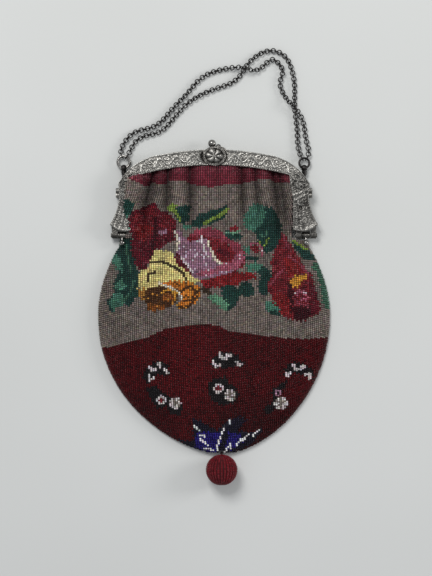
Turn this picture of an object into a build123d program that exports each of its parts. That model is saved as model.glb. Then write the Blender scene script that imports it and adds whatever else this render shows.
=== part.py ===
from build123d import *
import os
from math import atan2, cos, degrees, exp, pi, radians, sin, sqrt

# A knitted bead purse that lies on its back: +Y runs up to the handle, +Z away from the table.
# The frame has two cast halves, hinged at the foot of the arms, with the bag sewn between them.

# Clearances and the overrun of every cut
cut_overrun = 2.0
fit_clearance = 0.04
soft_gap = 0.3
parting_gap = 0.1

# Cast frame: half width of the mouth, the arms' widths beside it, and heights above the hinge axis
hinge_y = 19.0
mouth_half = 47.4
mouth_lean = 2.4
arm_top_width = 10.0
waist_width = 9.6
bell_width = 15.0
shoulder_share = 0.633
crown_above_hinge = 51.4
shoulder_drop = 2.8
arm_top_above_hinge = 31.0
waist_above_hinge = 21.0
bell_above_hinge = 6.4
rim_above_hinge = 2.3
rim_lift = 1.0
mouth_spring_above_hinge = 21.0
mouth_corner_above_hinge = 36.2
arch_above_hinge = 42.2
half_depth = 3.85
frame_wall = 1.3
frame_face = 1.3

# Relief on the frame's faces
relief_height = 0.6
border_width = 1.0
leaf_length = 7.0
leaf_width = 3.2
relief_tier_shares = (0.4, 1.0)
leaf_tilt = 24
leaf_clear_of_middle = 9.0
flute_start = 2.0
flute_length = 7.2
flute_width = 2.0
flute_count = 5
flute_fan = 76
boss_overhang = 1.4
boss_radius = 1.5
boss_length = 5.0
boss_pitch = 2.6
boss_above_hinge = 25.4

# Hinges
hinge_place_share = 0.52
knuckle_radius = 1.9
middle_knuckle = 4.8
side_knuckle = 3.4
knuckle_gap = 0.3
hinge_pin_radius = 0.8
pin_head_radius = 1.3
pin_head = 0.6
web_reach = 5.4

# Finials below the hinges
finial_radius = 1.7
finial_post_radius = 0.7
finial_reach = 4.7
finial_rise = 18

# Clasp: two knobs that pass side by side, and two oval medallions
front_knob_radius = 2.35
front_knob_reach = 3.7
front_knob_x = -1.2
back_knob_radius = 1.7
back_knob_reach = 1.9
knob_stem_radius = 0.9
knob_gap = 0.15
knob_level = 1.9
medallion_width = 13.8
medallion_height = 11.4
medallion_thickness = 0.7
medallion_border = 1.1
medallion_border_rise = 0.7
rosette_petals = 8
petal_start = 0.6
petal_length = 3.6
petal_width = 1.6
rosette_button_radius = 1.3
front_medallion_x = 0.3
back_medallion_x = 1.9
medallion_below_crown = 3.9
back_medallion_lift = 0.9

# Bag
bag_half = 69.8
bag_drop = 131.6
bag_depth = 14.0
neck_depth = 8.6
tip_depth = 3.4
cloth_wall = 1.3
pleat_height = 1.2
back_pleat_depth = 0.6
back_pleat_width = 2.4
back_pleat_drop = 14.0
hang_beside_hinge = 2.0
tip_sway = 4.6
wide_share = 0.37
hang_share = 0.05
base_curve_share = 0.6
dome_curve_share = 0.45
dome_power_share = 2.6
neck_power_share = 8.0
boxy_from_share = -0.2
boxy_to_share = 0.02
tip_curve_share = 0.75
pleat_fade_share = 0.32
depth_start_share = -0.1
bag_station_shares = (-0.36, -0.17, 0.0, 0.06, 0.19, 0.37, 0.53, 0.68, 0.79, 0.88, 0.945, 0.985)
hollow_station_shares = (-0.4, -0.17, 0.0, 0.06, 0.19, 0.37, 0.53, 0.68, 0.79, 0.88, 0.93)
fold_shares = (-0.66, -0.48, -0.25, 0.04, 0.29, 0.44, 0.63)
back_fold_shares = (-0.66, -0.45, -0.22, 0.22, 0.45, 0.66)
selvedge_shares = (0.9, 0.97, 1.0)

# Ball and its thread
ball_radius = 9.65
thread_radius = 0.6
knot_radius = 0.9

# Chain lugs on the shoulders, and the ring through the eye of each
lug_place_share = 0.85
lug_level = 1.75
lug_pin_radius = 0.9
lug_pin_start = 1.6
lug_rib_radius = 1.65
lug_neck_radius = 1.25
lug_rib = 0.8
lug_ribs = 3
lug_eye_radius = 2.0
lug_bore_slack = 0.55
lug_eye_sink = 0.4
left_ring_radius = 3.6
left_ring_wire = 0.8
right_ring_radius = 3.0
right_ring_wire = 0.65

# Chain links, and the way that the two strands lie
link_radius = 1.8
end_link_radius = 2.3
link_wire = 0.45
link_sides = 6
link_pitch = 1.9
end_link_set = 0.45
first_link_set = 2.95
link_clear_of_table = 0.05
link_twist = 20
link_twist_run = 14.0
crossing_lift = 3.5
crossing_reach = 9.0
handle_rise = 60.6
over_strand_shares = (
    (-0.99, 0.08), (-0.878, 0.175), (-0.667, 0.234), (-0.467, 0.403),
    (-0.289, 0.571), (-0.178, 0.685), (-0.078, 0.749), (0.089, 0.799), (0.344, 0.809),
    (0.433, 0.789), (0.533, 0.823), (0.656, 0.898), (0.722, 0.853), (0.761, 0.779),
    (0.733, 0.68), (0.744, 0.611), (0.8, 0.512), (0.878, 0.432), (0.956, 0.343),
    (1.0, 0.224), (1.022, 0.096),
)
under_strand_shares = (
    (-0.867, 0.086), (-0.744, 0.145), (-0.622, 0.175), (-0.422, 0.343),
    (-0.233, 0.502), (-0.089, 0.571), (0.056, 0.62), (0.2, 0.67), (0.289, 0.739),
    (0.344, 0.814), (0.4, 0.878), (0.478, 0.937), (0.633, 0.987), (0.778, 0.937),
    (0.833, 0.868), (0.867, 0.779), (0.889, 0.68), (0.894, 0.55), (0.894, 0.442),
    (0.906, 0.323), (0.922, 0.195), (0.928, 0.066),
)
crossing_shares = ((0.344, 0.811), (0.889, 0.425))
over_strand_leaves = (105, 65)
under_strand_leaves = (60, 115)

# Places worked out from the sizes above
shoulder_half = mouth_half * shoulder_share
mouth_corner_half = mouth_half - mouth_lean
arm_top_half = mouth_half + arm_top_width
waist_half = mouth_half + waist_width
bell_half = mouth_half + bell_width
boss_half = arm_top_half + boss_overhang
hinge_half = mouth_half + bell_width * hinge_place_share
hang_half = hinge_half + hang_beside_hinge
crown_y = hinge_y + crown_above_hinge
arch_y = hinge_y + arch_above_hinge
rim_y = hinge_y + rim_above_hinge
parting_z = relief_height + half_depth + parting_gap / 2
front_face_z = parting_z + parting_gap / 2 + half_depth
tip_y = hinge_y - bag_station_shares[-1] * bag_drop
both_sides = (1, -1)
os.makedirs("parts", exist_ok=True)


def smooth_step(share):
    """A rise from 0 to 1 that starts and ends level."""
    held = min(max(share, 0), 1)
    return held * held * (3 - 2 * held)


# Plan of one frame half: a low crown, round shoulders, waisted arms and shell-shaped feet
with BuildSketch() as frame_plan:
    with BuildLine():
        crown = TangentArc((0, crown_y), (shoulder_half, crown_y - shoulder_drop), tangent=(1, 0))
        shoulder = TangentArc(
            crown @ 1, (arm_top_half, hinge_y + arm_top_above_hinge), tangent=crown % 1
        )
        arm = ThreePointArc(
            shoulder @ 1,
            (waist_half, hinge_y + waist_above_hinge),
            (bell_half, hinge_y + bell_above_hinge),
        )
        foot = ThreePointArc(
            arm @ 1, ((bell_half + mouth_half) / 2, rim_y), (mouth_half, rim_y + rim_lift)
        )
        jamb = Line(foot @ 1, (mouth_half, hinge_y + mouth_spring_above_hinge))
        lean = Line(jamb @ 1, (mouth_corner_half, hinge_y + mouth_corner_above_hinge))
        TangentArc((0, arch_y), lean @ 1, tangent=(1, 0))
        mirror(about=Plane.YZ)
    make_face()

# The mouth inside the arch, drawn a soft gap smaller, with the way down to the bag's shoulders
with BuildSketch() as mouth_plan:
    with BuildLine():
        mouth_top = TangentArc(
            (0, arch_y - soft_gap),
            (mouth_corner_half - soft_gap, hinge_y + mouth_corner_above_hinge - soft_gap),
            tangent=(1, 0),
        )
        Polyline(
            mouth_top @ 1,
            (mouth_half - soft_gap, hinge_y + mouth_spring_above_hinge),
            (mouth_half - soft_gap, 0),
            (0, 0),
        )
        mirror(about=Plane.YZ)
    make_face()


def lens(start, length, width):
    """A leaf with pointed ends along local X, as the space between two arcs."""
    with BuildSketch() as outline:
        with BuildLine():
            ThreePointArc((start, 0), (start + length / 2, width / 2), (start + length, 0))
            mirror(about=Plane.XZ)
        make_face()
    return outline.sketch


def leaf_places():
    """Steps along the crown and the shoulder, moved in to the middle of the band, on both sides."""
    band = crown_above_hinge - arch_above_hinge
    places = []
    for edge in (crown, shoulder):
        count = round(edge.length / leaf_length)
        for step in range(count):
            tangent = edge % ((step + 0.5) / count)
            spot = edge @ ((step + 0.5) / count) + Vector(tangent.Y, -tangent.X) * band / 2
            if spot.X < leaf_clear_of_middle:
                continue
            turn = degrees(atan2(tangent.Y, tangent.X)) + leaf_tilt * (-1) ** step
            places.append(Location((spot.X, spot.Y, 0), (0, 0, turn)))
            places.append(Location((-spot.X, spot.Y, 0), (0, 0, -turn)))
    return places


def flute_places():
    """A fan of flutes over each shell foot, spread from a point on its rim."""
    places = []
    for side in both_sides:
        for step in range(flute_count):
            turn = 90 + flute_fan * (step / (flute_count - 1) - 1 / 2)
            places.append(Location((side * hinge_half, rim_y + rim_lift, 0), (0, 0, turn)))
    return places


# One half as it is cast, before its knuckles: a shallow trough with relief on its face
with BuildPart() as frame_shell:
    with BuildSketch(Plane.XY.offset(parting_z + parting_gap / 2)):
        add(frame_plan.sketch)
    extrude(amount=half_depth)
    with BuildSketch(Plane.XY.offset(front_face_z - frame_face)):
        add(frame_plan.sketch)
        offset(amount=-frame_wall, mode=Mode.REPLACE)
    extrude(amount=-half_depth, mode=Mode.SUBTRACT)
    with BuildSketch(Plane.XY.offset(front_face_z)):
        add(frame_plan.sketch)
        offset(frame_plan.sketch, amount=-border_width, mode=Mode.SUBTRACT)
    extrude(amount=relief_height / 2)
    for tier_share in relief_tier_shares:
        height = relief_height * tier_share
        size = 1 - tier_share / 2
        with BuildSketch(Plane.XY.offset(front_face_z)):
            with Locations(*leaf_places()):
                add(lens(-leaf_length * size / 2, leaf_length * size, leaf_width * size))
            with Locations(*flute_places()):
                inner_end = flute_start + flute_length * (1 - size) / 2
                add(lens(inner_end, flute_length * size, flute_width * size))
        extrude(amount=height)
    for side in both_sides:
        for row in both_sides:
            boss_x = side * (boss_half - boss_length / 2)
            boss_y = hinge_y + boss_above_hinge + row * boss_pitch / 2
            with Locations((boss_x, boss_y, front_face_z - boss_radius + relief_height)):
                Cylinder(boss_radius, boss_length, rotation=(0, 90, 0))


def knuckle_spans(role):
    """Start and length along X of the knuckles of one half, outwards from the middle of the purse."""
    middle_start = hinge_half - middle_knuckle / 2
    if role == "back":
        return [(middle_start, middle_knuckle)]
    return [
        (middle_start - knuckle_gap - side_knuckle, side_knuckle),
        (middle_start + middle_knuckle + knuckle_gap, side_knuckle),
    ]


knob_radius = {"front": front_knob_radius, "back": back_knob_radius}
knob_reach = {"front": front_knob_reach, "back": back_knob_reach}
knob_z = {"front": parting_z + knob_level, "back": parting_z - knob_level}
knob_apart = front_knob_radius + back_knob_radius + knob_gap
knob_spread = sqrt(knob_apart**2 - (front_knob_reach - back_knob_reach) ** 2)
knob_x = {"front": front_knob_x, "back": front_knob_x + knob_spread}
face_z = {"front": front_face_z, "back": relief_height}
medallion_x = {"front": front_medallion_x, "back": back_medallion_x}
medallion_y = {"front": crown_y - medallion_below_crown}
medallion_y["back"] = medallion_y["front"] + back_medallion_lift
lug_seat = shoulder @ lug_place_share
ring_radius = {-1: left_ring_radius, 1: right_ring_radius}
ring_wire = {-1: left_ring_wire, 1: right_ring_wire}


def finial_plane(side):
    """Start on the hinge axis, pointing out of the knuckle, down the bag and a little up."""
    return Plane(
        origin=(side * hinge_half, hinge_y, parting_z),
        x_dir=(1, 0, 0),
        z_dir=(0, -cos(radians(finial_rise)), sin(radians(finial_rise))),
    )


def knob_plane(role):
    """Start at the knob's centre, with the stem running back along local -Z into the crown."""
    return Plane(
        origin=(knob_x[role], crown_y + knob_reach[role], knob_z[role]), x_dir=(1, 0, 0), z_dir=(0, 1, 0)
    )


def lug_plane(side):
    """Start on the shoulder's outer edge, with local Z out along the lug."""
    return Plane(
        origin=(side * lug_seat.X, lug_seat.Y, parting_z - lug_level),
        x_dir=(0, 0, 1),
        z_dir=(0, 1, 0),
    )


lug_length = lug_pin_start + lug_ribs * lug_rib
eye_set = lug_length + lug_eye_radius - lug_eye_sink


def lug_eye(side):
    """The centre of the eye at the end of a lug, where the ring runs through it along X."""
    return lug_plane(side).from_local_coords(Vector(0, 0, eye_set))


def ring_centre(side):
    """A ring hangs straight out from its eye, towards the handle."""
    return lug_eye(side) + Vector(0, ring_radius[side], 0)


for role in ("front", "back"):
    level = 1 if role == "front" else -1
    with BuildPart() as frame_half:
        if role == "front":
            add(frame_shell.part)
        else:
            mirror(frame_shell.part, about=Plane.XY.offset(parting_z))
        for side in both_sides:
            for start, length in knuckle_spans(role):
                centre_x = side * (start + length / 2)
                with Locations((centre_x, hinge_y, parting_z)):
                    Cylinder(knuckle_radius, length, rotation=(0, 90, 0))
                web_z = parting_z + level * (knuckle_radius + parting_gap / 2) / 2
                with Locations((centre_x, hinge_y + web_reach / 2, web_z)):
                    Box(length, web_reach, knuckle_radius - parting_gap / 2)
            with Locations((side * hinge_half, hinge_y, parting_z)):
                Cylinder(
                    hinge_pin_radius + fit_clearance, hinge_half, rotation=(0, 90, 0), mode=Mode.SUBTRACT
                )
        with BuildSketch(Plane.XY.offset(face_z[role])):
            with Locations((medallion_x[role], medallion_y[role])):
                Ellipse(medallion_width / 2 + soft_gap, medallion_height / 2 + soft_gap)
        extrude(amount=level * (relief_height + cut_overrun), mode=Mode.SUBTRACT)
        with Locations((knob_x[role], crown_y, knob_z[role])):
            Cylinder(
                knob_stem_radius + fit_clearance,
                2 * (frame_wall + cut_overrun),
                rotation=(90, 0, 0),
                mode=Mode.SUBTRACT,
            )
        if role == "back":
            for side in both_sides:
                with Locations(finial_plane(side)):
                    Cylinder(
                        finial_post_radius + fit_clearance,
                        knuckle_radius + cut_overrun,
                        align=(Align.CENTER, Align.CENTER, Align.MIN),
                        mode=Mode.SUBTRACT,
                    )
                with Locations(lug_plane(side)):
                    Cylinder(
                        lug_pin_radius + fit_clearance,
                        2 * (frame_wall + cut_overrun),
                        mode=Mode.SUBTRACT,
                    )
    frame_half.part.label = f"{role}_frame"
    export_step(frame_half.part, f"parts/{role}_frame.step")

    with BuildPart(knob_plane(role)) as knob:
        Sphere(knob_radius[role])
        Cylinder(
            knob_stem_radius,
            knob_reach[role] + frame_wall,
            align=(Align.CENTER, Align.CENTER, Align.MAX),
        )
    knob.part.label = f"{role}_clasp_knob"
    export_step(knob.part, f"parts/{role}_clasp_knob.step")

# The clasp's oval medallions: the front one has a raised border and a rosette, the back one is plain
with BuildPart() as front_medallion:
    with BuildSketch(Plane.XY.offset(front_face_z)):
        with Locations((front_medallion_x, medallion_y["front"])):
            Ellipse(medallion_width / 2, medallion_height / 2)
    extrude(amount=medallion_thickness + medallion_border_rise)
    plate_z = front_face_z + medallion_thickness
    with BuildSketch(Plane.XY.offset(plate_z)):
        with Locations((front_medallion_x, medallion_y["front"])):
            Ellipse(medallion_width / 2 - medallion_border, medallion_height / 2 - medallion_border)
    extrude(amount=medallion_border_rise, mode=Mode.SUBTRACT)
    with BuildSketch(Plane.XY.offset(plate_z)):
        with Locations((front_medallion_x, medallion_y["front"])):
            with PolarLocations(0, rosette_petals):
                add(lens(petal_start, petal_length, petal_width))
    extrude(amount=medallion_border_rise / 2)
    with Locations((front_medallion_x, medallion_y["front"], plate_z)):
        Sphere(rosette_button_radius, arc_size1=0)
front_medallion.part.label = "front_medallion"
export_step(front_medallion.part, "parts/front_medallion.step")

with BuildPart() as back_medallion:
    with BuildSketch():
        with Locations((back_medallion_x, medallion_y["back"])):
            Ellipse(medallion_width / 2, medallion_height / 2)
    extrude(amount=relief_height)
back_medallion.part.label = "back_medallion"
export_step(back_medallion.part, "parts/back_medallion.step")

for side, side_name in zip(both_sides, ("right", "left")):
    barrel = middle_knuckle + 2 * (knuckle_gap + side_knuckle)
    with BuildPart(Plane.YZ.offset(side * hinge_half)) as hinge_pin:
        with Locations((hinge_y, parting_z)):
            Cylinder(hinge_pin_radius, barrel + 2 * fit_clearance)
        for end in both_sides:
            with Locations((hinge_y, parting_z, end * (barrel / 2 + fit_clearance + pin_head / 2))):
                Cylinder(pin_head_radius, pin_head)
        fillet(hinge_pin.faces().group_by(Axis.X)[-1].edges(), pin_head / 3)
        fillet(hinge_pin.faces().group_by(Axis.X)[0].edges(), pin_head / 3)
    hinge_pin.part.label = f"{side_name}_hinge_pin"
    export_step(hinge_pin.part, f"parts/{side_name}_hinge_pin.step")

    with BuildPart(finial_plane(side)) as finial:
        post_start = hinge_pin_radius + 2 * fit_clearance
        with Locations((0, 0, post_start)):
            Cylinder(
                finial_post_radius,
                finial_reach - post_start,
                align=(Align.CENTER, Align.CENTER, Align.MIN),
            )
        with Locations((0, 0, finial_reach)):
            Sphere(finial_radius)
    finial.part.label = f"{side_name}_hinge_finial"
    export_step(finial.part, f"parts/{side_name}_hinge_finial.step")

    with BuildPart() as lug:
        with Locations(lug_plane(side)):
            Cylinder(lug_pin_radius, 2 * (lug_pin_start + lug_rib / 2))
            for rib in range(lug_ribs):
                with Locations((0, 0, lug_pin_start + lug_rib * (rib + 0.5))):
                    Cylinder(lug_neck_radius, lug_rib)
                    Cylinder(lug_rib_radius, lug_rib / 2)
            with Locations((0, 0, eye_set)):
                Sphere(lug_eye_radius)
        with Locations(lug_eye(side)):
            Cylinder(
                ring_wire[side] + lug_bore_slack,
                2 * (lug_eye_radius + cut_overrun),
                rotation=(0, 90, 0),
                mode=Mode.SUBTRACT,
            )
    lug.part.label = f"{side_name}_chain_lug"
    export_step(lug.part, f"parts/{side_name}_chain_lug.step")

    with BuildPart(Plane(origin=ring_centre(side))) as ring:
        Torus(ring_radius[side], ring_wire[side])
    ring.part.label = f"{side_name}_chain_ring"
    export_step(ring.part, f"parts/{side_name}_chain_ring.step")


def bag_y(share):
    """A station's place: shares of the drop below the hinge axis, and of the neck's reach above it."""
    if share < 0:
        return hinge_y + share / bag_station_shares[0] * (arch_above_hinge + 2 * cut_overrun)
    return hinge_y - share * bag_drop


def bag_fall(share):
    """How far a station below the widest place has come on its way to the tip."""
    return max(share - wide_share, 0) / (1 - wide_share)


def bag_half_at(share):
    """Half width: straight down beside the hinges, a full curve out to the widest place, a round base."""
    if share > wide_share:
        return bag_half * (1 - bag_fall(share) ** 2) ** base_curve_share
    left_to_widen = (wide_share - max(share, hang_share)) / (wide_share - hang_share)
    return bag_half - (bag_half - hang_half) * left_to_widen**2


def bag_depth_at(share):
    """Thickness in the middle: fullest at the widest place, thin at the tip and held at the neck."""
    if share > wide_share:
        return tip_depth + (bag_depth - tip_depth) * (1 - bag_fall(share) ** 2) ** tip_curve_share
    filled = smooth_step((share - depth_start_share) / (wide_share - depth_start_share))
    return neck_depth + (bag_depth - neck_depth) * filled


def bag_section(share, inset, pleat_sink):
    """Points over the front of one station, with a sunk point at each gather: boxy in the neck,
    where the frame holds the cloth apart, and rounder further down."""
    half = bag_half_at(share) - inset
    depth = bag_depth_at(share) - inset
    gather = pleat_height * (1 - smooth_step(share / pleat_fade_share))
    rounded = smooth_step((share - boxy_from_share) / (boxy_to_share - boxy_from_share))
    power = neck_power_share + (dome_power_share - neck_power_share) * rounded
    centre = tip_sway * bag_fall(share) ** 3
    crests = [(a + b) / 2 for a, b in zip(fold_shares, fold_shares[1:])]
    edges = [side * edge for edge in selvedge_shares for side in both_sides]
    points = []
    for across in sorted((*fold_shares, *crests, *edges)):
        dome = (1 - abs(across) ** power) ** dome_curve_share
        sunk = gather if across in fold_shares else gather * pleat_sink
        height = inset + (depth - inset) * dome - sunk * dome
        points.append((centre + half * across, height))
    return points


# The inside of the bag, a wall smaller all round and open past the mouth
with BuildPart() as bag_hollow:
    for share in hollow_station_shares:
        with BuildSketch(Plane.XZ.offset(-bag_y(share))):
            with BuildLine():
                front = Spline(*bag_section(share, cloth_wall, 1))
                Line(front @ 1, front @ 0)
            make_face()
    loft()

# The bag: gathered under the arch, flat on its back, trimmed to the mouth of the frame
with BuildPart() as beaded_bag:
    for share in bag_station_shares:
        with BuildSketch(Plane.XZ.offset(-bag_y(share))):
            with BuildLine():
                front = Spline(*bag_section(share, 0, 0))
                Polyline(front @ 1, front @ 1 - (0, cut_overrun), front @ 0 - (0, cut_overrun), front @ 0)
            make_face()
    loft()
    split(bisect_by=Plane.XY, keep=Keep.TOP)
    add(bag_hollow.part, mode=Mode.SUBTRACT)
    with BuildSketch():
        room = 2 * (crown_above_hinge + knuckle_radius)
        with Locations((0, hinge_y - knuckle_radius - soft_gap)):
            Rectangle(2 * bag_half, room, align=(Align.CENTER, Align.MIN))
        add(mouth_plan.sketch, mode=Mode.SUBTRACT)
    extrude(amount=bag_depth, mode=Mode.SUBTRACT)
    with BuildSketch(Plane.XZ.offset(back_pleat_drop - hinge_y)):
        with Locations(*[(hang_half * share, 0) for share in back_fold_shares]):
            Polygon((-back_pleat_width / 2, 0), (back_pleat_width / 2, 0), (0, back_pleat_depth), align=None)
    extrude(amount=-(back_pleat_drop + crown_above_hinge), mode=Mode.SUBTRACT)
beaded_bag.part.label = "beaded_bag"
export_step(beaded_bag.part, "parts/beaded_bag.step")

# The ball lies on the table below the tip, on a thread whose knot is the pivot of its swing
knot = Vector(tip_sway, tip_y - soft_gap - knot_radius, tip_depth / 2)
ball_centre = Vector(tip_sway, tip_y - soft_gap * 4 - ball_radius, ball_radius)
thread_way = (ball_centre - knot).normalized()
thread_length = (ball_centre - knot).length - ball_radius / 2
with BuildPart(Plane(origin=knot, z_dir=thread_way)) as ball_thread:
    Sphere(knot_radius)
    Cylinder(thread_radius, thread_length, align=(Align.CENTER, Align.CENTER, Align.MIN))
ball_thread.part.label = "ball_thread"
export_step(ball_thread.part, "parts/ball_thread.step")

with BuildPart(Plane(origin=knot, z_dir=thread_way)) as bottom_ball:
    with Locations((0, 0, (ball_centre - knot).length)):
        Sphere(ball_radius)
    Cylinder(
        thread_radius + fit_clearance,
        thread_length + fit_clearance,
        align=(Align.CENTER, Align.CENTER, Align.MIN),
        mode=Mode.SUBTRACT,
    )
bottom_ball.part.label = "bottom_ball"
export_step(bottom_ball.part, "parts/bottom_ball.step")


def link_ring(radius):
    """One faceted chain link, flat in its own plane, with a corner at each end of its length."""
    with BuildPart() as link:
        with BuildSketch():
            RegularPolygon(radius, link_sides)
            RegularPolygon(radius - link_wire / cos(pi / link_sides), link_sides, mode=Mode.SUBTRACT)
        extrude(amount=link_wire / 2, both=True)
    return link.part


def handle_spot(shares):
    """A place on the table beside the crown, from shares of the lugs' half distance and the rise."""
    return Vector(lug_seat.X * shares[0], crown_y + handle_rise * shares[1], 0)


ring_level = parting_z - lug_level
link_level = link_radius * cos(pi / link_sides) + link_clear_of_table


def strand_path(route_shares, leaves):
    """A flat curve from ring to ring that leaves each ring straight outwards."""
    ends = []
    for side, bearing in zip((-1, 1), leaves):
        out = Vector(cos(radians(bearing)), sin(radians(bearing)), 0)
        start = ring_centre(side) + out * ring_radius[side]
        on_table = Vector(start.X, start.Y, 0)
        ends.append([on_table, on_table + out * first_link_set])
    middle = [handle_spot(shares) for shares in route_shares]
    return Spline(*ends[0], *middle, *reversed(ends[1]))


def strand_height(path, along, lift):
    """Links lie on the table, rise to the rings at both ends and ride over the other strand."""
    spot = path @ along
    near_end = min(along, 1 - along) * path.length / first_link_set
    height = link_level + (ring_level - link_level) * exp(-near_end**2 / 2)
    for crossing in crossing_shares:
        apart = (spot - handle_spot(crossing)).length / crossing_reach
        height += lift * exp(-(apart**2) * 2)
    return Vector(spot.X, spot.Y, height)


def link_places(path, lift):
    """Places of the plain links, then of the two end links, turned by quarter turns in step."""
    span = path.length - 2 * first_link_set
    count = 2 * round(span / link_pitch / 2) + 1
    sets = [first_link_set + span * step / (count - 1) for step in range(count)]
    places = []
    for step, reach in enumerate((*sets, end_link_set, path.length - end_link_set)):
        along = reach / path.length
        nudge = link_wire / path.length
        ahead = strand_height(path, min(along + nudge, 1), lift)
        behind = strand_height(path, max(along - nudge, 0), lift)
        tangent = (ahead - behind).normalized()
        level_side = Vector(0, 0, 1).cross(tangent).normalized()
        up = tangent.cross(level_side)
        turn = 90 if step >= count else 90 * (step % 2)
        ease = min(sin(pi * along) * 2, 1)
        turn = radians(turn + link_twist * ease * sin(step * link_pitch / link_twist_run * 2))
        facing = up * cos(turn) + level_side * sin(turn)
        places.append(Plane(origin=strand_height(path, along, lift), x_dir=tangent, z_dir=facing))
    return places


plain_link = link_ring(link_radius)
end_link = link_ring(end_link_radius)
for name, route_shares, leaves, lift in (
    ("over_chain_strand", over_strand_shares, over_strand_leaves, crossing_lift),
    ("under_chain_strand", under_strand_shares, under_strand_leaves, 0),
):
    places = link_places(strand_path(route_shares, leaves), lift)
    with BuildPart() as strand:
        with Locations(*places[:-2]):
            add(plain_link, clean=False)
        with Locations(*places[-2:]):
            add(end_link, clean=False)
    strand.part.label = name
    export_step(strand.part, f"parts/{name}.step")
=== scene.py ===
# %% [markdown]
# # A knitted bead purse on a silver frame
# The purse lies on its back on a pale table, and the camera looks straight down on it. Its bag is knitted
# from thread that carries thousands of small glass beads, so nearly all of its look comes from beads: their
# colours draw the roses, and their shine breaks the light into small points.
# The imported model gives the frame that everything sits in. Lengths here are in millimetres, with the same
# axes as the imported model, and become metres only when a mesh is made.

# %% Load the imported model
import bpy
import numpy as np
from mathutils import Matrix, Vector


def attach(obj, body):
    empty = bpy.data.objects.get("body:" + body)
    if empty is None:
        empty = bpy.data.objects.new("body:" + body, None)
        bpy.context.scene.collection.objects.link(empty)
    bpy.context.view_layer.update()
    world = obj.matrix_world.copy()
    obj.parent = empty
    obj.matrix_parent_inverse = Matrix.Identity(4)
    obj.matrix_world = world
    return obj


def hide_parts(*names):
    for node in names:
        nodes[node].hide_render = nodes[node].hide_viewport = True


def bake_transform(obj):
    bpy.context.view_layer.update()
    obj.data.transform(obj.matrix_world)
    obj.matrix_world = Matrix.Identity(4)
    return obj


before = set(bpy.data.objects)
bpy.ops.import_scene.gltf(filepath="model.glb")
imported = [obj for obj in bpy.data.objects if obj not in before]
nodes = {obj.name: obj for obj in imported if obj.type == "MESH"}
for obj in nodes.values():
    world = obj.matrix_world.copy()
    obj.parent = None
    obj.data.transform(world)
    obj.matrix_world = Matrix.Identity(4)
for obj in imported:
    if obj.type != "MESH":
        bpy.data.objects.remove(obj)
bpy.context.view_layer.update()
mm = 0.001
chance = np.random.default_rng(7)

# %% [markdown]
# ## Camera
# The photograph is taken from straight above. One pixel of it is 0.6 mm on the purse, so a picture 576 pixels
# high spans 345.6 mm. A camera without perspective could show that too, but a long lens far away is closer to
# a real one and keeps the edges just as upright.

# %% Camera
pixel = 0.6
view_middle = np.array([1.2, -12.6, 6.0])
picture_rows = 576
view_height = picture_rows * pixel
camera_rise = 1500.0
camera_data = bpy.data.cameras.new("camera")
camera_data.sensor_fit = "VERTICAL"
camera_data.sensor_height = 24.0
camera_data.lens = camera_data.sensor_height * camera_rise / view_height
camera_data.clip_end = 20.0
camera = bpy.data.objects.new("camera", camera_data)
camera.location = (view_middle + [0, 0, camera_rise]) * mm
bpy.context.scene.collection.objects.link(camera)
bpy.context.scene.camera = camera
bpy.context.scene.view_settings.view_transform = "Standard"
print("camera lens", round(camera_data.lens, 1), "mm")

# %% [markdown]
# ## Finishes as Python expressions
# A finish is a net of small nodes. It could be wired node by node, but sums are hard to read that way. Here
# one class stands for an output of a node, so that a sum of such outputs is written as a sum, and one method
# adds any other node.

# %% Shader sums
class Wire:
    """One output socket of a shader: + - * on it and numbers add Math nodes."""

    def __init__(self, finish, socket):
        self.finish, self.socket = finish, socket

    def sum(self, operation, a, b):
        """One Math node with two inputs."""
        return self.finish.node("ShaderNodeMath", {"operation": operation}, {0: a, 1: b})

    def __add__(self, other):
        return self.sum("ADD", self, other)

    def __mul__(self, other):
        return self.sum("MULTIPLY", self, other)

    def __sub__(self, other):
        return self.sum("SUBTRACT", self, other)

    def __rsub__(self, other):
        return self.sum("SUBTRACT", other, self)

    __radd__ = __add__
    __rmul__ = __mul__


class Finish:
    """A material with one Principled shader. node() adds any node, feed() links to the shader."""

    def __init__(self, name, **constants):
        self.material = bpy.data.materials.new(name)
        self.material.use_nodes = True
        self.tree = self.material.node_tree
        self.shader = self.tree.nodes["Principled BSDF"]
        for socket, value in constants.items():
            self.shader.inputs[socket.replace("_", " ")].default_value = value

    def node(self, kind, settings=None, sockets=None, out=0):
        """Any node: its type, its settings, which are set first, and the values or links of its sockets."""
        made = self.tree.nodes.new(kind)
        for name, value in (settings or {}).items():
            if name == "stops":
                ramp = made.color_ramp.elements
                while len(ramp) < len(value):
                    ramp.new(0.5)
                for element, (place, colour) in zip(ramp, value):
                    element.position = place
                    element.color = (*colour, 1.0)
            else:
                setattr(made, name, value)
        for name, value in (sockets or {}).items():
            if isinstance(value, Wire):
                self.tree.links.new(value.socket, made.inputs[name])
            else:
                made.inputs[name].default_value = value
        return Wire(self, made.outputs[out])

    def feed(self, socket, wire):
        """Link a wire to a socket of the shader."""
        self.tree.links.new(wire.socket, self.shader.inputs[socket])

    def place(self):
        """Object coordinates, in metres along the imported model's own axes."""
        return self.node("ShaderNodeTexCoord", out=3)

    def bump(self, height, strength, distance):
        """Let a height tilt the surface that the light sees."""
        sockets = {"Height": height, "Strength": strength, "Distance": distance}
        self.feed("Normal", self.node("ShaderNodeBump", None, sockets))


def linear(colour):
    """Screen colour from 0 to 255 as the linear light that Blender counts in."""
    share = np.asarray(colour, float) / 255.0
    return np.where(share <= 0.04045, share / 12.92, ((share + 0.055) / 1.055) ** 2.4)


print("half grey is", round(float(linear(128)), 3), "of full light")

# %% [markdown]
# ## One way to make a mesh
# Blender's own commands could add a mesh shape by shape. Here new meshes all go through one function. It
# takes whole numpy arrays of points and faces, so no loop visits single points, and it prints what it made.

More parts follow.
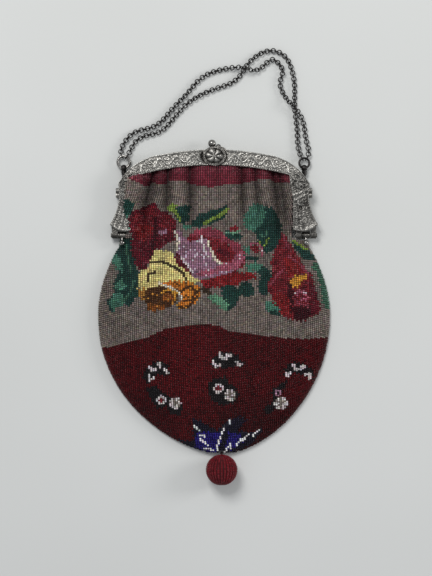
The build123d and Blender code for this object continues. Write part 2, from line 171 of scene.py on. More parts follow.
# %% From arrays to an object
def new_piece(name, points, faces, finish, body=None, colours=None):
    """A smooth mesh object at the origin, its points in millimetres, with one colour for each point."""
    mesh = bpy.data.meshes.new(name)
    mesh.from_pydata(np.asarray(points, float) * mm, [], faces)
    mesh.polygons.foreach_set("use_smooth", np.ones(len(mesh.polygons), bool))
    if colours is not None:
        layer = mesh.color_attributes.new("bead_colour", "FLOAT_COLOR", "POINT")
        rgba = np.ones((len(points), 4), np.float32)
        rgba[:, :3] = colours
        layer.data.foreach_set("color", rgba.ravel())
    mesh.materials.append(finish.material)
    mesh.validate()
    mesh.update()
    piece = bpy.data.objects.new(name, mesh)
    bpy.context.scene.collection.objects.link(piece)
    if body:
        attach(piece, body)
    print(name, len(mesh.vertices), "points", len(mesh.polygons), "faces")
    return piece


def grid_faces(rows, columns, closed_across=False):
    """Quads between neighbouring rows and columns of a grid, counted row by row."""
    last = columns if closed_across else columns - 1
    r, c = np.meshgrid(np.arange(rows - 1), np.arange(last), indexing="ij")
    n = (c + 1) % columns
    quads = np.stack([r * columns + c, r * columns + n, (r + 1) * columns + n, (r + 1) * columns + c], -1)
    return quads.reshape(-1, 4)


print("a grid of 3 by 4 points has", len(grid_faces(3, 4)), "faces")

# %% [markdown]
# ## Table and light
# The purse lies on a pale plain table. A broad soft lamp overhead, a weaker one from the right and a pale
# surround give small soft shadows and even light. A sun lamp would be simpler, but its shadows are hard.

# %% Table and lamps
floor_finish = Finish("pale_table", Roughness=0.9)
floor_tone = floor_finish.node(
    "ShaderNodeTexNoise", None, {"Vector": floor_finish.place(), "Scale": 2.5, "Detail": 3.0}
)
floor_stops = [(0.3, linear((203, 204, 201))), (0.7, linear((212, 213, 211)))]
floor_colour = floor_finish.node("ShaderNodeValToRGB", {"stops": floor_stops}, {"Fac": floor_tone})
floor_finish.feed("Base Color", floor_colour)
floor_half = 1500.0
floor_corners = [(x * floor_half, y * floor_half, 0) for x, y in ((-1, -1), (1, -1), (1, 1), (-1, 1))]
floor = new_piece("table", floor_corners, [(0, 1, 2, 3)], floor_finish)


def add_lamp(name, place, aim, size, power):
    """A square soft lamp at a place, turned to shine at a point. Millimetres and watts."""
    data = bpy.data.lights.new(name, "AREA")
    data.size = size * mm
    data.energy = power
    lamp = bpy.data.objects.new(name, data)
    lamp.location = np.array(place) * mm
    way = Vector(aim) - Vector(place)
    lamp.rotation_euler = way.to_track_quat("-Z", "Y").to_euler()
    bpy.context.scene.collection.objects.link(lamp)


add_lamp("soft_lamp_above", place=(-290, 580, 960), aim=(0, 0, 0), size=450, power=8.0)
add_lamp("soft_lamp_right", place=(800, 150, 420), aim=(0, 0, 0), size=300, power=2.6)
surround_tint, surround_strength = (0.93, 0.96, 1.0, 1.0), 0.42
world = bpy.data.worlds.new("surround")
world.use_nodes = True
background = world.node_tree.nodes["Background"]
background.inputs["Color"].default_value = surround_tint
background.inputs["Strength"].default_value = surround_strength
bpy.context.scene.world = world
print("table, two lamps and a pale surround")

# %% [markdown]
# ## The bag's form
# The bag is a flat-backed pouch: the frame holds its neck, it is fullest a third of the way down and it
# closes at a tip a little right of the middle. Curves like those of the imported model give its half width, its
# depth and the height of its front. Gathers run down from the arch as narrow valleys that fade out.
# Sculpting could give such a form too, but with a formula the beads can ask for the height and the slope at
# any place, and so sit on the surface exactly.

# %% Curves of the bag
hinge_y, bag_drop, bag_half_width, bag_fullness = 19.0, 131.6, 69.8, 14.0
neck_thickness, tip_thickness, tip_sway, widest = 8.6, 3.4, 4.6, 0.37
arch_y, arch_span, mouth_half = 60.9, 343.5, 47.1
hang_half, hang_share = 57.2, 0.05
width_power, depth_power = 0.6, 0.75
swell_lead_share, swell_run_share = 0.1, 0.47
fold_lines = np.array([-38.0, -28.0, -14.4, 2.2, 16.8, 25.2, 36.2, 40.2])
fold_depths = np.array([4.8, 3.8, 3.6, 0.6, 3.4, 2.8, 4.2, 3.0])
fold_widths = np.array([2.5, 2.0, 2.0, 5.0, 2.0, 1.9, 2.1, 1.8])
fold_leans = np.array([-0.25, -0.05, 0.0, 0.0, 0.03, 0.08, 0.13, 0.15])
fold_lengths = np.array([0.30, 0.24, 0.26, 0.2, 0.24, 0.22, 0.34, 0.3])
fold_lead_share, fold_power = 0.24, 1.15
lean_from, lean_least, lean_most = 50.0, -6.0, 16.0


def smooth_step(share):
    """A rise from 0 to 1, level at both ends: 3 t squared less 2 t cubed."""
    t = np.clip(share, 0, 1)
    return t * t * (3 - 2 * t)


def bell(value, middle, width):
    """A bell curve: e to the power of minus the square of the distance from the middle over the width."""
    return np.exp(-(((value - middle) / width) ** 2))


def bag_share(y):
    """How far down the bag a height is, counted from the hinges, as a share of the drop."""
    return (hinge_y - y) / bag_drop


def bag_fall(y):
    """0 above the widest place, then rising to 1 at the very tip."""
    return np.clip(bag_share(y) - widest, 0, None) / (1 - widest)


def bag_half(y):
    """Half width: straight beside the hinges, a full curve out to the widest place, then a round base."""
    base = bag_half_width * np.clip(1 - bag_fall(y) ** 2, 0, 1) ** width_power
    to_widen = np.clip((widest - np.maximum(bag_share(y), hang_share)) / (widest - hang_share), 0, 1)
    upper = bag_half_width - (bag_half_width - hang_half) * to_widen**2
    return np.where(bag_share(y) > widest, base, upper)


def bag_middle(y):
    """The middle line sways to the right towards the tip, with the cube of the fall."""
    return tip_sway * bag_fall(y) ** 3


def bag_depth(y):
    """Thickness in the middle of the bag: it swells from the neck to the widest place, then falls to the tip
    as one less the square of the fall, raised to a power."""
    round_base = np.clip(1 - bag_fall(y) ** 2, 0, 1) ** depth_power
    low = tip_thickness + (bag_fullness - tip_thickness) * round_base
    swell = smooth_step((bag_share(y) + swell_lead_share) / swell_run_share)
    high = neck_thickness + (bag_fullness - neck_thickness) * swell
    return np.where(bag_share(y) > widest, low, high)


def arch_edge(x):
    """The lower edge of the arch, which falls towards the shoulders with the square of x."""
    return arch_y - x**2 / arch_span


def fold_valleys(x, y):
    """Depth of the gathers: sharp bell curves across each fold line, fading out at its own length."""
    spread = bag_half(y) / hang_half
    depth = np.zeros(np.broadcast(x, y).shape)
    folds = zip(fold_lines, fold_depths, fold_widths, fold_lengths, fold_leans)
    for line, deep, width, length, lean in folds:
        fade = 1 - smooth_step((bag_share(y) + fold_lead_share) / length)
        middle = line * spread + lean * np.clip(lean_from - y, lean_least, lean_most)
        depth += deep * fade * np.exp(-np.abs((x - middle) / width) ** fold_power)
    return depth


print("bag from", round(float(arch_edge(0.0)), 1), "to", round(hinge_y - bag_drop, 1), "mm")

# %% Front of the bag
arm_cover = np.array([
    (16.0, 56.8), (18.5, 53.0), (21.0, 51.0), (25.0, 51.0), (28.5, 51.8), (32.0, 54.2), (42.0, 53.8),
    (50.0, 53.4), (54.0, 51.4),
])
arm_edge, arm_ramp = -42.0, 5.0
cover_foot, cover_ramp = 15.5, 7.5
cover_top, cover_roll, cover_border = 10.6, 0.9, 3.0
base_swells = ((0.9, -13, 12), (-0.5, -36, 9), (0.6, 57, 7))
swell_top, swell_ramp = -25, 20
neck_power, body_power, dome_power = 8.0, 2.6, 0.45
boxy_lead_share, boxy_run_share = 0.2, 0.22
tuck_depth, tuck_reach = 1.3, 2.2
bead_room = 0.62
neck_foot, neck_ramp = 15.0, 2.5


def cover_half(y):
    """How far to the left the cloth reaches where it has slipped over the left arm of the frame."""
    return np.interp(y, *arm_cover.T)


def base_waves(x, y):
    """Soft swells of the lower bag: broad bell curves across it, fading out upwards."""
    swell = sum(high * bell(x, middle, width) for high, middle, width in base_swells)
    return swell * smooth_step((swell_top - y) / swell_ramp)


def front_height(x, y):
    """Front of the bag: depth times (1 - across^power)^0.45, less the valleys of the gathers and the tuck
    under the arch. The power runs from 8 in the boxy neck to 2.6 further down. Beyond the left edge of the
    mouth the cloth rises over the arm and rolls down at its own border."""
    across = np.clip(np.abs(x - bag_middle(y)) / bag_half(y), 0, 1)
    boxy = smooth_step((bag_share(y) + boxy_lead_share) / boxy_run_share)
    power = neck_power - (neck_power - body_power) * boxy
    dome = (1 - across**power) ** dome_power
    tuck = tuck_depth * bell(arch_edge(x) - y, 0, tuck_reach)
    pouch = np.maximum((bag_depth(y) + base_waves(x, y) - fold_valleys(x, y)) * dome - tuck, bead_room)
    over = smooth_step((arm_edge - x) / arm_ramp) * smooth_step((y - cover_foot) / cover_ramp)
    roll = cover_top - cover_roll * smooth_step((cover_border - cover_half(y) - x) / cover_border)
    return pouch * (1 - over) + roll * over


def bag_limit(y, covers_arm):
    """Half width that the cloth may take: all of it below the hinges, the frame's mouth above them, and more
    where it covers the arm."""
    neck = smooth_step((y - neck_foot) / neck_ramp)
    mouth = np.where(covers_arm, cover_half(y), mouth_half)
    return bag_half(y) * (1 - neck) + np.minimum(bag_half(y), mouth) * neck


print("front", round(float(front_height(0.0, -20.0)), 1), "mm high in the middle of the bag")

# %% [markdown]
# ## The bead chart
# A bead knitter works from a chart: every bead has one of about thirty glass colours. A picture could be laid
# over the bag, but then colours would run across the beads. Here the chart is a list of drawn fields, each
# with its name, a bead colour and an outline. Later fields lie over earlier ones. Fine lines and little
# rings come last.

# %% Bead colours
bead_colours = {
    "taupe": (119, 108, 101), "red": (75, 11, 16), "band": (111, 38, 51), "wine": (92, 22, 34),
    "garnet": (58, 14, 22), "crimson": (116, 32, 40), "scarlet": (128, 30, 33), "ruby": (120, 33, 41),
    "mauve": (148, 109, 128), "old rose": (160, 86, 104), "straw": (220, 204, 134), "amber": (198, 118, 42),
    "ochre": (166, 118, 54), "umber": (72, 44, 24), "rust": (140, 80, 34), "gold": (204, 146, 54),
    "lime": (120, 142, 64), "pine": (30, 60, 54), "sage": (72, 118, 100), "mint": (98, 142, 114),
    "moss": (60, 96, 78), "bark": (58, 44, 32), "cream": (214, 204, 184), "jet": (26, 22, 24),
    "blush": (140, 62, 76), "pearl": (206, 196, 196), "night": (26, 22, 38), "cobalt": (36, 27, 106),
    "white": (240, 238, 238),
}
colour_names = list(bead_colours)
colour_table = linear(np.array(list(bead_colours.values())))
print(len(colour_names), "bead colours")

# %% [markdown]
# The fields were drawn on two enlarged sheets, one for the roses and one for the base. Each sheet starts at a
# column and row of the photograph, and a step on it is a share of a pixel. The purse's middle lies at a known
# column and row, so places on a sheet become millimetres.

# %% Fields, lines and rings of the chart
sheet_steps = 1568
upper_sheet, lower_sheet = (95, 165, 240 / sheet_steps), (90, 330, 250 / sheet_steps)
middle_column, middle_row = 214, 267


def on_purse(sheet, points):
    """Places on a sheet in millimetres, to a tenth: pixels from the purse's middle times the size of one."""
    left, top, share = sheet
    return [
        (
            round((left + across * share - middle_column) * pixel, 1),
            round((middle_row - top - down * share) * pixel, 1),
        )
        for across, down in points
    ]


upper_fields = {
    "left rose": ("wine", [
        (220, 345), (260, 300), (340, 265), (400, 250), (425, 300), (470, 305), (500, 330), (535, 380),
        (520, 440), (520, 495), (470, 510), (440, 540), (395, 560), (360, 620), (330, 680), (290, 690),
        (255, 620), (235, 540), (240, 480), (225, 420),
    ]),
    "left rose, lit petal": ("crimson", [
        (235, 350), (300, 300), (390, 262), (405, 330), (380, 400), (375, 480), (330, 500), (265, 480),
        (240, 420),
    ]),
    "left rose, heart": ("scarlet", [
        (275, 400), (330, 385), (380, 400), (375, 440), (330, 495), (285, 480), (262, 440),
    ]),
    "left rose, right petal": ("crimson", [
        (425, 330), (480, 320), (525, 380), (515, 440), (470, 430), (420, 400),
    ]),
    "left rose, mauve fleck": ("mauve", [(412, 430), (465, 425), (470, 452), (415, 458)]),
    "left rose, fold": ("garnet", [
        (385, 400), (400, 340), (412, 400), (405, 480), (380, 560), (360, 610), (372, 520),
    ]),
    "yellow rose": ("straw", [
        (385, 560), (480, 555), (520, 600), (540, 660), (620, 690), (690, 750), (600, 790), (520, 800),
        (430, 800), (390, 800), (330, 810), (265, 808), (275, 750), (290, 690), (350, 680), (365, 610),
    ]),
    "yellow rose, orange petal": ("amber", [
        (420, 775), (520, 752), (620, 765), (690, 800), (690, 860), (640, 920), (560, 940), (530, 920),
        (560, 880), (560, 850), (520, 800),
    ]),
    "yellow rose, gold side": ("ochre", [
        (275, 820), (330, 800), (345, 830), (330, 900), (300, 870), (280, 840),
    ]),
    "yellow rose, shade": ("umber", [
        (370, 795), (440, 788), (520, 812), (545, 840), (530, 905), (480, 930), (400, 952), (350, 940),
        (320, 880), (340, 820),
    ]),
    "yellow rose, ember": ("rust", [(430, 850), (480, 830), (520, 850), (505, 885), (450, 890)]),
    "yellow rose, foot": ("rust", [(340, 900), (400, 905), (470, 935), (400, 958), (350, 950)]),
    "pink rose, back petals": ("crimson", [
        (600, 500), (605, 470), (640, 440), (690, 415), (750, 410), (800, 430), (850, 470), (865, 520),
        (940, 520), (970, 560), (985, 640), (930, 700), (850, 690), (740, 560), (650, 520),
    ]),
    "pink rose, lit back petals": ("blush", [
        (620, 473), (660, 428), (740, 411), (830, 433), (880, 493), (950, 523), (980, 593), (960, 653),
        (900, 683), (930, 623), (915, 563), (870, 513), (800, 488), (740, 473), (690, 463),
    ]),
    "pink rose, left petal": ("wine", [
        (528, 600), (545, 560), (590, 600), (625, 650), (640, 720), (610, 700), (560, 670), (530, 650),
    ]),
    "pink rose, body": ("mauve", [
        (525, 430), (550, 425), (575, 455), (605, 500), (650, 500), (700, 470), (740, 500), (745, 540),
        (770, 560), (765, 600), (790, 640), (850, 660), (935, 660), (900, 700), (760, 725), (690, 745),
        (640, 715), (600, 650), (560, 600), (535, 560), (545, 500),
    ]),
    "pink rose, inner petal": ("old rose", [
        (830, 640), (900, 610), (960, 560), (980, 630), (920, 690), (820, 700), (700, 735), (640, 725),
        (700, 690), (780, 680),
    ]),
    "pink rose, heart": ("ruby", [
        (745, 495), (800, 478), (860, 530), (910, 545), (915, 600), (880, 640), (820, 635), (770, 585),
    ]),
    "pink rose, heart's fold": ("wine", [(790, 560), (840, 545), (890, 570), (870, 600), (820, 590)]),
    "pink rose, foot": ("scarlet", [
        (680, 760), (800, 730), (900, 700), (1040, 705), (1052, 740), (950, 760), (940, 790), (860, 785),
        (810, 805), (740, 800), (700, 785),
    ]),
    "small leaf, tip": ("lime", [(470, 262), (530, 250), (532, 312), (480, 302)]),
    "small leaf": ("pine", [
        (540, 270), (635, 265), (620, 310), (610, 380), (570, 390), (540, 360), (515, 315),
    ]),
    "small leaf, foot": ("sage", [(560, 400), (600, 392), (640, 410), (600, 430)]),
    "middle leaf": ("pine", [
        (628, 370), (660, 340), (720, 310), (790, 290), (860, 265), (866, 320), (820, 360), (760, 390),
        (700, 408), (650, 402),
    ]),
    "right leaf, lit side": ("sage", [
        (975, 330), (1010, 280), (1050, 250), (1105, 260), (1115, 330), (1085, 390), (1040, 440),
        (985, 420), (968, 380),
    ]),
    "right leaf": ("pine", [
        (1108, 270), (1160, 280), (1195, 340), (1222, 400), (1215, 460), (1165, 510), (1110, 520),
        (1060, 470), (1040, 430), (1090, 380), (1112, 330),
    ]),
    "right leaf, foot": ("pine", [
        (1040, 430), (1100, 420), (1200, 430), (1222, 480), (1190, 540), (1130, 575), (1085, 560),
        (1060, 500),
    ]),
    "left leaves": ("pine", [
        (140, 490), (232, 480), (240, 560), (265, 640), (288, 700), (280, 800), (285, 850), (230, 925),
        (170, 905), (118, 962), (88, 940), (78, 890), (130, 830), (112, 780), (150, 720), (170, 660),
        (120, 655), (92, 605), (115, 560),
    ]),
    "left leaf, lit": ("sage", [(98, 600), (130, 575), (180, 640), (175, 700), (140, 680)]),
    "left leaf, lit middle": ("sage", [(125, 780), (170, 745), (215, 790), (180, 820), (140, 815)]),
    "left leaf, lit foot": ("sage", [
        (82, 900), (130, 835), (190, 850), (200, 905), (150, 930), (115, 955),
    ]),
    "shoulder leaf": ("pine", [
        (165, 240), (215, 225), (262, 260), (240, 310), (215, 350), (190, 330), (170, 300),
    ]),
    "shoulder leaf, lit": ("sage", [(185, 330), (215, 330), (222, 420), (200, 470), (175, 440)]),
    "bud, cup": ("pine", [
        (848, 420), (870, 440), (930, 450), (965, 455), (950, 490), (880, 488), (855, 470),
    ]),
    "bud": ("ruby", [(870, 410), (920, 395), (945, 415), (925, 432), (880, 432)]),
    "lower bud, cup": ("pine", [(975, 590), (1030, 600), (1070, 600), (1060, 630), (980, 622)]),
    "lower bud, leaf": ("sage", [(972, 540), (1005, 530), (1015, 575), (985, 585)]),
    "lower bud": ("ruby", [(1012, 530), (1060, 520), (1080, 560), (1040, 575)]),
    "side leaf, lit": ("sage", [(968, 650), (1060, 635), (1100, 655), (1060, 690), (1000, 700)]),
    "side leaf": ("pine", [
        (1058, 690), (1100, 655), (1152, 690), (1150, 760), (1120, 850), (1072, 842), (1058, 790),
        (1078, 740),
    ]),
    "under leaf, right": ("pine", [
        (930, 800), (985, 757), (1032, 775), (1037, 840), (1000, 872), (950, 850),
    ]),
    "under leaf": ("pine", [
        (818, 800), (880, 785), (932, 800), (952, 850), (920, 910), (880, 952), (852, 952), (870, 900),
        (830, 860),
    ]),
    "under leaf, lit": ("mint", [
        (738, 840), (790, 848), (832, 868), (870, 905), (866, 948), (830, 952), (790, 912), (750, 882),
    ]),
    "stem": ("bark", [(690, 785), (740, 800), (772, 845), (735, 850), (700, 830)]),
    "right rose": ("crimson", [
        (1225, 450), (1252, 468), (1290, 540), (1330, 600), (1370, 680), (1400, 700), (1422, 740),
        (1452, 850), (1482, 950), (1420, 992), (1350, 1022), (1300, 1012), (1230, 990), (1190, 960),
        (1160, 880), (1118, 780), (1160, 720), (1150, 650), (1170, 560), (1200, 500),
    ]),
    "right rose, left petals": ("scarlet", [
        (1155, 860), (1200, 830), (1270, 850), (1280, 980), (1230, 990), (1190, 958),
    ]),
    "right rose, upper petal": ("scarlet", [
        (1240, 600), (1330, 610), (1370, 690), (1300, 720), (1265, 740), (1240, 680),
    ]),
    "right rose, fold": ("garnet", [
        (1265, 740), (1280, 740), (1292, 860), (1290, 960), (1275, 960), (1262, 850),
    ]),
    "right rose, shade": ("garnet", [(1290, 925), (1380, 920), (1440, 960), (1350, 1022), (1300, 1010)]),
    "right rose, right petal": ("wine", [
        (1400, 770), (1440, 800), (1475, 940), (1430, 985), (1395, 930), (1410, 860),
    ]),
    "right rose, mauve ring": ("old rose", [
        (1305, 830), (1340, 815), (1400, 850), (1395, 890), (1340, 890),
    ]),
    "right rose, ring's heart": ("ruby", [(1335, 840), (1370, 838), (1378, 868), (1345, 872)]),
    "right rose, heart": ("gold", [
        (1265, 750), (1310, 722), (1402, 708), (1385, 738), (1350, 768), (1340, 802), (1290, 795),
    ]),
    "right small leaf": ("sage", [
        (1112, 890), (1160, 888), (1202, 940), (1207, 992), (1150, 975), (1110, 940),
    ]),
    "right small leaf, shade": ("pine", [(1150, 950), (1190, 945), (1207, 992), (1150, 977)]),
    "edge leaf": ("pine", [
        (1288, 490), (1340, 518), (1392, 550), (1445, 612), (1400, 625), (1350, 602), (1310, 550),
    ]),
    "edge strip": ("moss", [
        (1410, 640), (1470, 628), (1512, 700), (1532, 800), (1540, 900), (1518, 955), (1490, 900),
        (1480, 820), (1450, 710),
    ]),
}
lower_fields = {
    "left scroll": ("jet", [
        (330, 300), (350, 240), (400, 200), (450, 188), (492, 220), (498, 282), (450, 290), (430, 272),
        (400, 300), (362, 345),
    ]),
    "left scroll, tail": ("jet", [
        (358, 362), (420, 350), (482, 410), (592, 480), (560, 542), (510, 530), (480, 482), (420, 492),
        (380, 430),
    ]),
    "middle scroll": ("jet", [
        (745, 222), (770, 180), (820, 138), (900, 143), (952, 190), (972, 232), (920, 222), (870, 242),
        (810, 240),
    ]),
    "middle scroll, tail": ("jet", [
        (740, 330), (790, 300), (850, 295), (902, 360), (932, 400), (900, 460), (820, 472), (760, 432),
        (742, 380),
    ]),
    "right scroll": ("jet", [
        (1210, 272), (1232, 220), (1290, 200), (1350, 208), (1402, 260), (1404, 312), (1340, 282),
        (1280, 272), (1240, 302),
    ]),
    "right scroll, tail": ("jet", [
        (1140, 380), (1200, 330), (1240, 310), (1232, 352), (1185, 400), (1160, 500), (1110, 530),
        (1080, 490), (1150, 450),
    ]),
    "star": ("night", [
        (640, 555), (690, 565), (745, 605), (800, 625), (870, 560), (935, 538), (985, 560), (930, 625),
        (1000, 650), (1095, 618), (1000, 722), (900, 772), (700, 772), (540, 690), (652, 700),
    ]),
    "star, left blue": ("cobalt", [(672, 640), (740, 640), (770, 680), (800, 782), (700, 762), (652, 722)]),
    "star, middle blue": ("cobalt", [(758, 642), (820, 640), (830, 700), (790, 762), (760, 700)]),
    "star, right blue": ("cobalt", [(870, 640), (930, 650), (972, 690), (900, 742), (850, 760)]),
}
upper_lines = {
    "yellow rose, vein": ("bark", 0.73, [
        [(365, 640), (410, 634), (450, 636), (520, 670), (570, 700), (600, 755)],
    ]),
    "yellow rose, side vein": ("bark", 0.7, [[(342, 765), (345, 730), (355, 712), (395, 700)]]),
    "yellow rose, rim": ("cream", 0.73, [[(420, 772), (480, 795), (535, 820), (560, 850), (562, 880)]]),
    "middle leaf, vein": ("lime", 1, [[(715, 382), (770, 352), (810, 335), (862, 292)]]),
    "small leaf, vein": ("lime", 0.83, [[(520, 308), (545, 335), (560, 362)]]),
    "edge leaf, vein": ("lime", 0.73, [[(1298, 500), (1340, 525), (1385, 552)]]),
    "right leaf, vein": ("moss", 0.73, [[(1075, 455), (1110, 470), (1120, 440)]]),
    "right leaf, lit vein": ("lime", 0.7, [[(1072, 500), (1085, 545)]]),
    "right leaf, side vein": ("lime", 0.7, [[(1130, 480), (1108, 530)]]),
    "pink rose, rim": ("cream", 0.7, [[(525, 432), (545, 500), (540, 560)]]),
    "pink rose, heart's rim": ("cream", 0.7, [
        [(745, 500), (748, 540), (770, 580), (790, 625), (835, 645)],
    ]),
    "pink rose, foot's rim": ("mauve", 0.7, [[(640, 725), (700, 738), (800, 720), (900, 690)]]),
    "yellow rose, swirl": ("umber", 0.7, [[(545, 925), (600, 935), (655, 880), (680, 810)]]),
    "yellow rose, inner swirl": ("umber", 0.7, [
        [(565, 825), (615, 795), (660, 820), (635, 880), (585, 890)],
    ]),
    "yellow rose, gold swirl": ("gold", 0.7, [[(440, 830), (480, 812), (530, 835), (525, 880)]]),
    "pink rose, left pearls": ("pearl", 0.7, [[(560, 600), (600, 650), (640, 705)]]),
    "pink rose, light": ("pearl", 0.7, [[(690, 465), (712, 540), (735, 600)]]),
    "right rose, tip": ("blush", 0.83, [[(1228, 455), (1245, 500), (1268, 545)]]),
    "right rose, petal edge": ("blush", 0.7, [[(1262, 595), (1330, 640), (1392, 715)]]),
    "right rose, left edge": ("blush", 0.7, [[(1240, 672), (1190, 720), (1152, 775)]]),
    "right rose, lower edge": ("blush", 0.7, [[(1295, 862), (1330, 905), (1390, 925)]]),
    "left leaf, vein": ("moss", 0.73, [[(200, 520), (215, 600), (235, 700)]]),
    "left leaf, lower vein": ("moss", 0.73, [[(255, 760), (225, 840), (180, 890)]]),
    "bud, rim": ("mint", 0.7, [[(862, 440), (900, 448), (945, 430)]]),
    "lower bud, rim": ("old rose", 0.7, [[(1010, 520), (1060, 510), (1095, 545), (1085, 600)]]),
}
lower_lines = {
    "left scroll, dashes": ("pearl", 0.86, [
        [(368, 285), (372, 310), (400, 302)], [(375, 228), (385, 255), (410, 246)],
        [(432, 205), (440, 232)], [(470, 248), (488, 268)],
    ]),
    "middle scroll, dashes": ("pearl", 0.86, [
        [(772, 198), (785, 228), (818, 215)], [(815, 145), (825, 178), (845, 176)],
        [(858, 180), (862, 155), (880, 158)], [(915, 195), (930, 215), (950, 212)],
    ]),
    "right scroll, dashes": ("pearl", 0.86, [
        [(1225, 265), (1240, 288), (1252, 270)], [(1275, 220), (1285, 250), (1305, 242)],
        [(1325, 245), (1330, 226), (1345, 232)], [(1345, 280), (1380, 275), (1378, 305)],
    ]),
    "star, left rays": ("white", 0.6, [
        [(655, 602), (690, 632)], [(680, 656), (715, 666)], [(695, 686), (735, 720)],
        [(718, 740), (768, 752)], [(750, 776), (790, 782)],
    ]),
    "star, middle rays": ("white", 0.6, [
        [(875, 563), (878, 588)], [(845, 603), (838, 632)], [(826, 638), (820, 680)],
        [(810, 692), (800, 732)], [(792, 742), (812, 764)],
    ]),
    "star, right rays": ("white", 0.6, [
        [(1056, 628), (1020, 662)], [(992, 656), (958, 690)], [(945, 688), (918, 722)],
        [(884, 712), (880, 746)], [(848, 764), (862, 734)],
    ]),
}
lower_rings = {
    "left ring's heart": ("crimson", (447, 438), 0, 1.6, 0),
    "left ring": ("pearl", (447, 438), 1.5, 2.9, 0),
    "middle ring's heart": ("crimson", (805, 365), 0, 1.7, 0),
    "middle ring": ("pearl", (805, 365), 1.6, 3, 0),
    "right ring": ("mauve", (1178, 395), 0.96, 2.2, 0),
    "left flower": ("pearl", (535, 457), 0.96, 3.6, 5),
    "middle flower": ("pearl", (880, 407), 0.96, 3.6, 5),
    "right flower": ("pearl", (1197, 460), 0.96, 4, 6),
}
chart_areas = [
    (colour, on_purse(sheet, outline))
    for sheet, fields in ((upper_sheet, upper_fields), (lower_sheet, lower_fields))
    for colour, outline in fields.values()
]
chart_lines = [
    (colour, width, on_purse(sheet, stroke))
    for sheet, lines in ((upper_sheet, upper_lines), (lower_sheet, lower_lines))
    for colour, width, strokes in lines.values()
    for stroke in strokes
]
chart_rings = [
    (colour, on_purse(lower_sheet, [middle])[0], inner, outer, petals)
    for colour, middle, inner, outer, petals in lower_rings.values()
]
print(len(chart_areas), "fields,", len(chart_lines), "lines and", len(chart_rings), "rings")

# %% Edges of the base and the band
# Places in millimetres along the top of the red base and the foot of the band below the arch.
red_edge = np.array([
    (-70.0, -49.5), (-50.4, -45.0), (-40.8, -42.6), (-28.8, -37.2), (-16.8, -34.8), (-3.6, -34.2),
    (2.4, -35.1), (7.2, -37.8), (21.0, -39.9), (40.2, -42.3), (54.0, -43.2), (70.0, -42.3),
])
band_edge = np.array([
    (-52.4, 53.6), (-48.6, 51.8), (-41.9, 48.5), (-38.5, 48.7), (-37.6, 50.4), (-31.4, 49.5),
    (-27.5, 50.2), (-26.6, 51.8), (-17.0, 51.8), (-15.1, 50.2), (-11.3, 49.2), (-1.7, 47.6),
    (7.9, 49.7), (17.4, 50.1), (25.1, 52.0), (33.7, 52.8), (36.6, 50.6), (45.2, 51.0),
])
print("base edge from", red_edge[0].tolist(), "to", red_edge[-1].tolist())

# %% Reading the chart
wander, scatter, wave_down, wave_along = 0.45, 0.25, 2.1, 2.3
petal_gap, far_off = -0.6, 1e9


def inside(x, y, outline):
    """Even-odd rule: a point is inside where a line to its right crosses the outline an odd number of
    times."""
    hit = np.zeros(x.shape, bool)
    for (ax, ay), (bx, by) in zip(outline, outline[1:] + outline[:1]):
        crosses = (ay > y) != (by > y)
        if ay != by:
            hit ^= crosses & (x < (bx - ax) * (y - ay) / (by - ay) + ax)
    return hit


def near_line(x, y, points):
    """Distance to the nearest of the straight pieces between points."""
    best = np.full(x.shape, far_off)
    for (ax, ay), (bx, by) in zip(points, points[1:]):
        run = np.array([bx - ax, by - ay])
        along = np.clip(((x - ax) * run[0] + (y - ay) * run[1]) / (run @ run), 0, 1)
        best = np.minimum(best, np.hypot(x - ax - along * run[0], y - ay - along * run[1]))
    return best


def chart_colours(x, y):
    """The number of the bead colour at each place: ground, base and band, then fields, lines and rings. The
    edges of fields wander by a sine and scatter by chance, as on hand-made knitting."""
    pick = np.full(x.shape, colour_names.index("taupe"))
    pick[y < np.interp(x, *red_edge.T)] = colour_names.index("red")
    pick[y > np.interp(x, *band_edge.T)] = colour_names.index("band")
    wobble_x = x + wander * np.sin(y * wave_down + x) + scatter * chance.standard_normal(x.shape)
    wobble_y = y + wander * np.sin(x * wave_along - y) + scatter * chance.standard_normal(x.shape)
    for name, outline in chart_areas:
        pick[inside(wobble_x, wobble_y, outline)] = colour_names.index(name)
    for name, width, points in chart_lines:
        pick[near_line(x, y, points) < width] = colour_names.index(name)
    for name, (cx, cy), inner, outer, petals in chart_rings:
        reach, angle = np.hypot(x - cx, y - cy), np.arctan2(y - cy, x - cx)
        gap = (petals > 0) & ((np.cos(petals * angle) < petal_gap) | (reach < inner))
        pick[(reach < outer) & gap] = colour_names.index("taupe")
        pick[(reach > inner) & (reach < outer) & ~gap] = colour_names.index(name)
    return pick


middle = np.zeros(1)
fields_over_middle = [name for name, outline in chart_areas if inside(middle, middle, outline)[0]]
print("glass at the purse's middle:", fields_over_middle[-1] if fields_over_middle else "taupe")

# %% [markdown]
# ## Light and dark among the beads
# Beads of one colour come from many batches, so no two are quite alike. Noise in the finish could vary them,
# but would also run across single beads. Here each bead gets its own share of chance, and the band turns paler
# at the arch. Painted light and shade follow the bag's own curves: light on the swells of the base and on the
# puffs of the gathers, shade towards the tip and in the gathers' valleys. Some red beads carry a painted glint.

# %% Shades, flecks, painted light and painted shade
rosy_glass, golden_glass = ("mauve", "old rose"), ("amber", "ochre", "rust", "umber")
rose_glass = ("crimson", "scarlet", "wine", "ruby")
shade_spread, patch_spread, tint_spread, darkest, lightest = 0.2, 0.16, 0.05, 0.5, 1.7
pale_fleck, brown_fleck, gold_fleck = linear((206, 190, 200)), linear((92, 58, 30)), linear((196, 134, 58))
# The pale colour added to some red beads below is a painted highlight, a glint.
painted_rose_glint, dim_share = linear((62, 48, 50)), 0.5
pale_above, dim_below, glint_above, brown_below, gold_above = 0.93, 0.14, 0.92, 0.16, 0.9
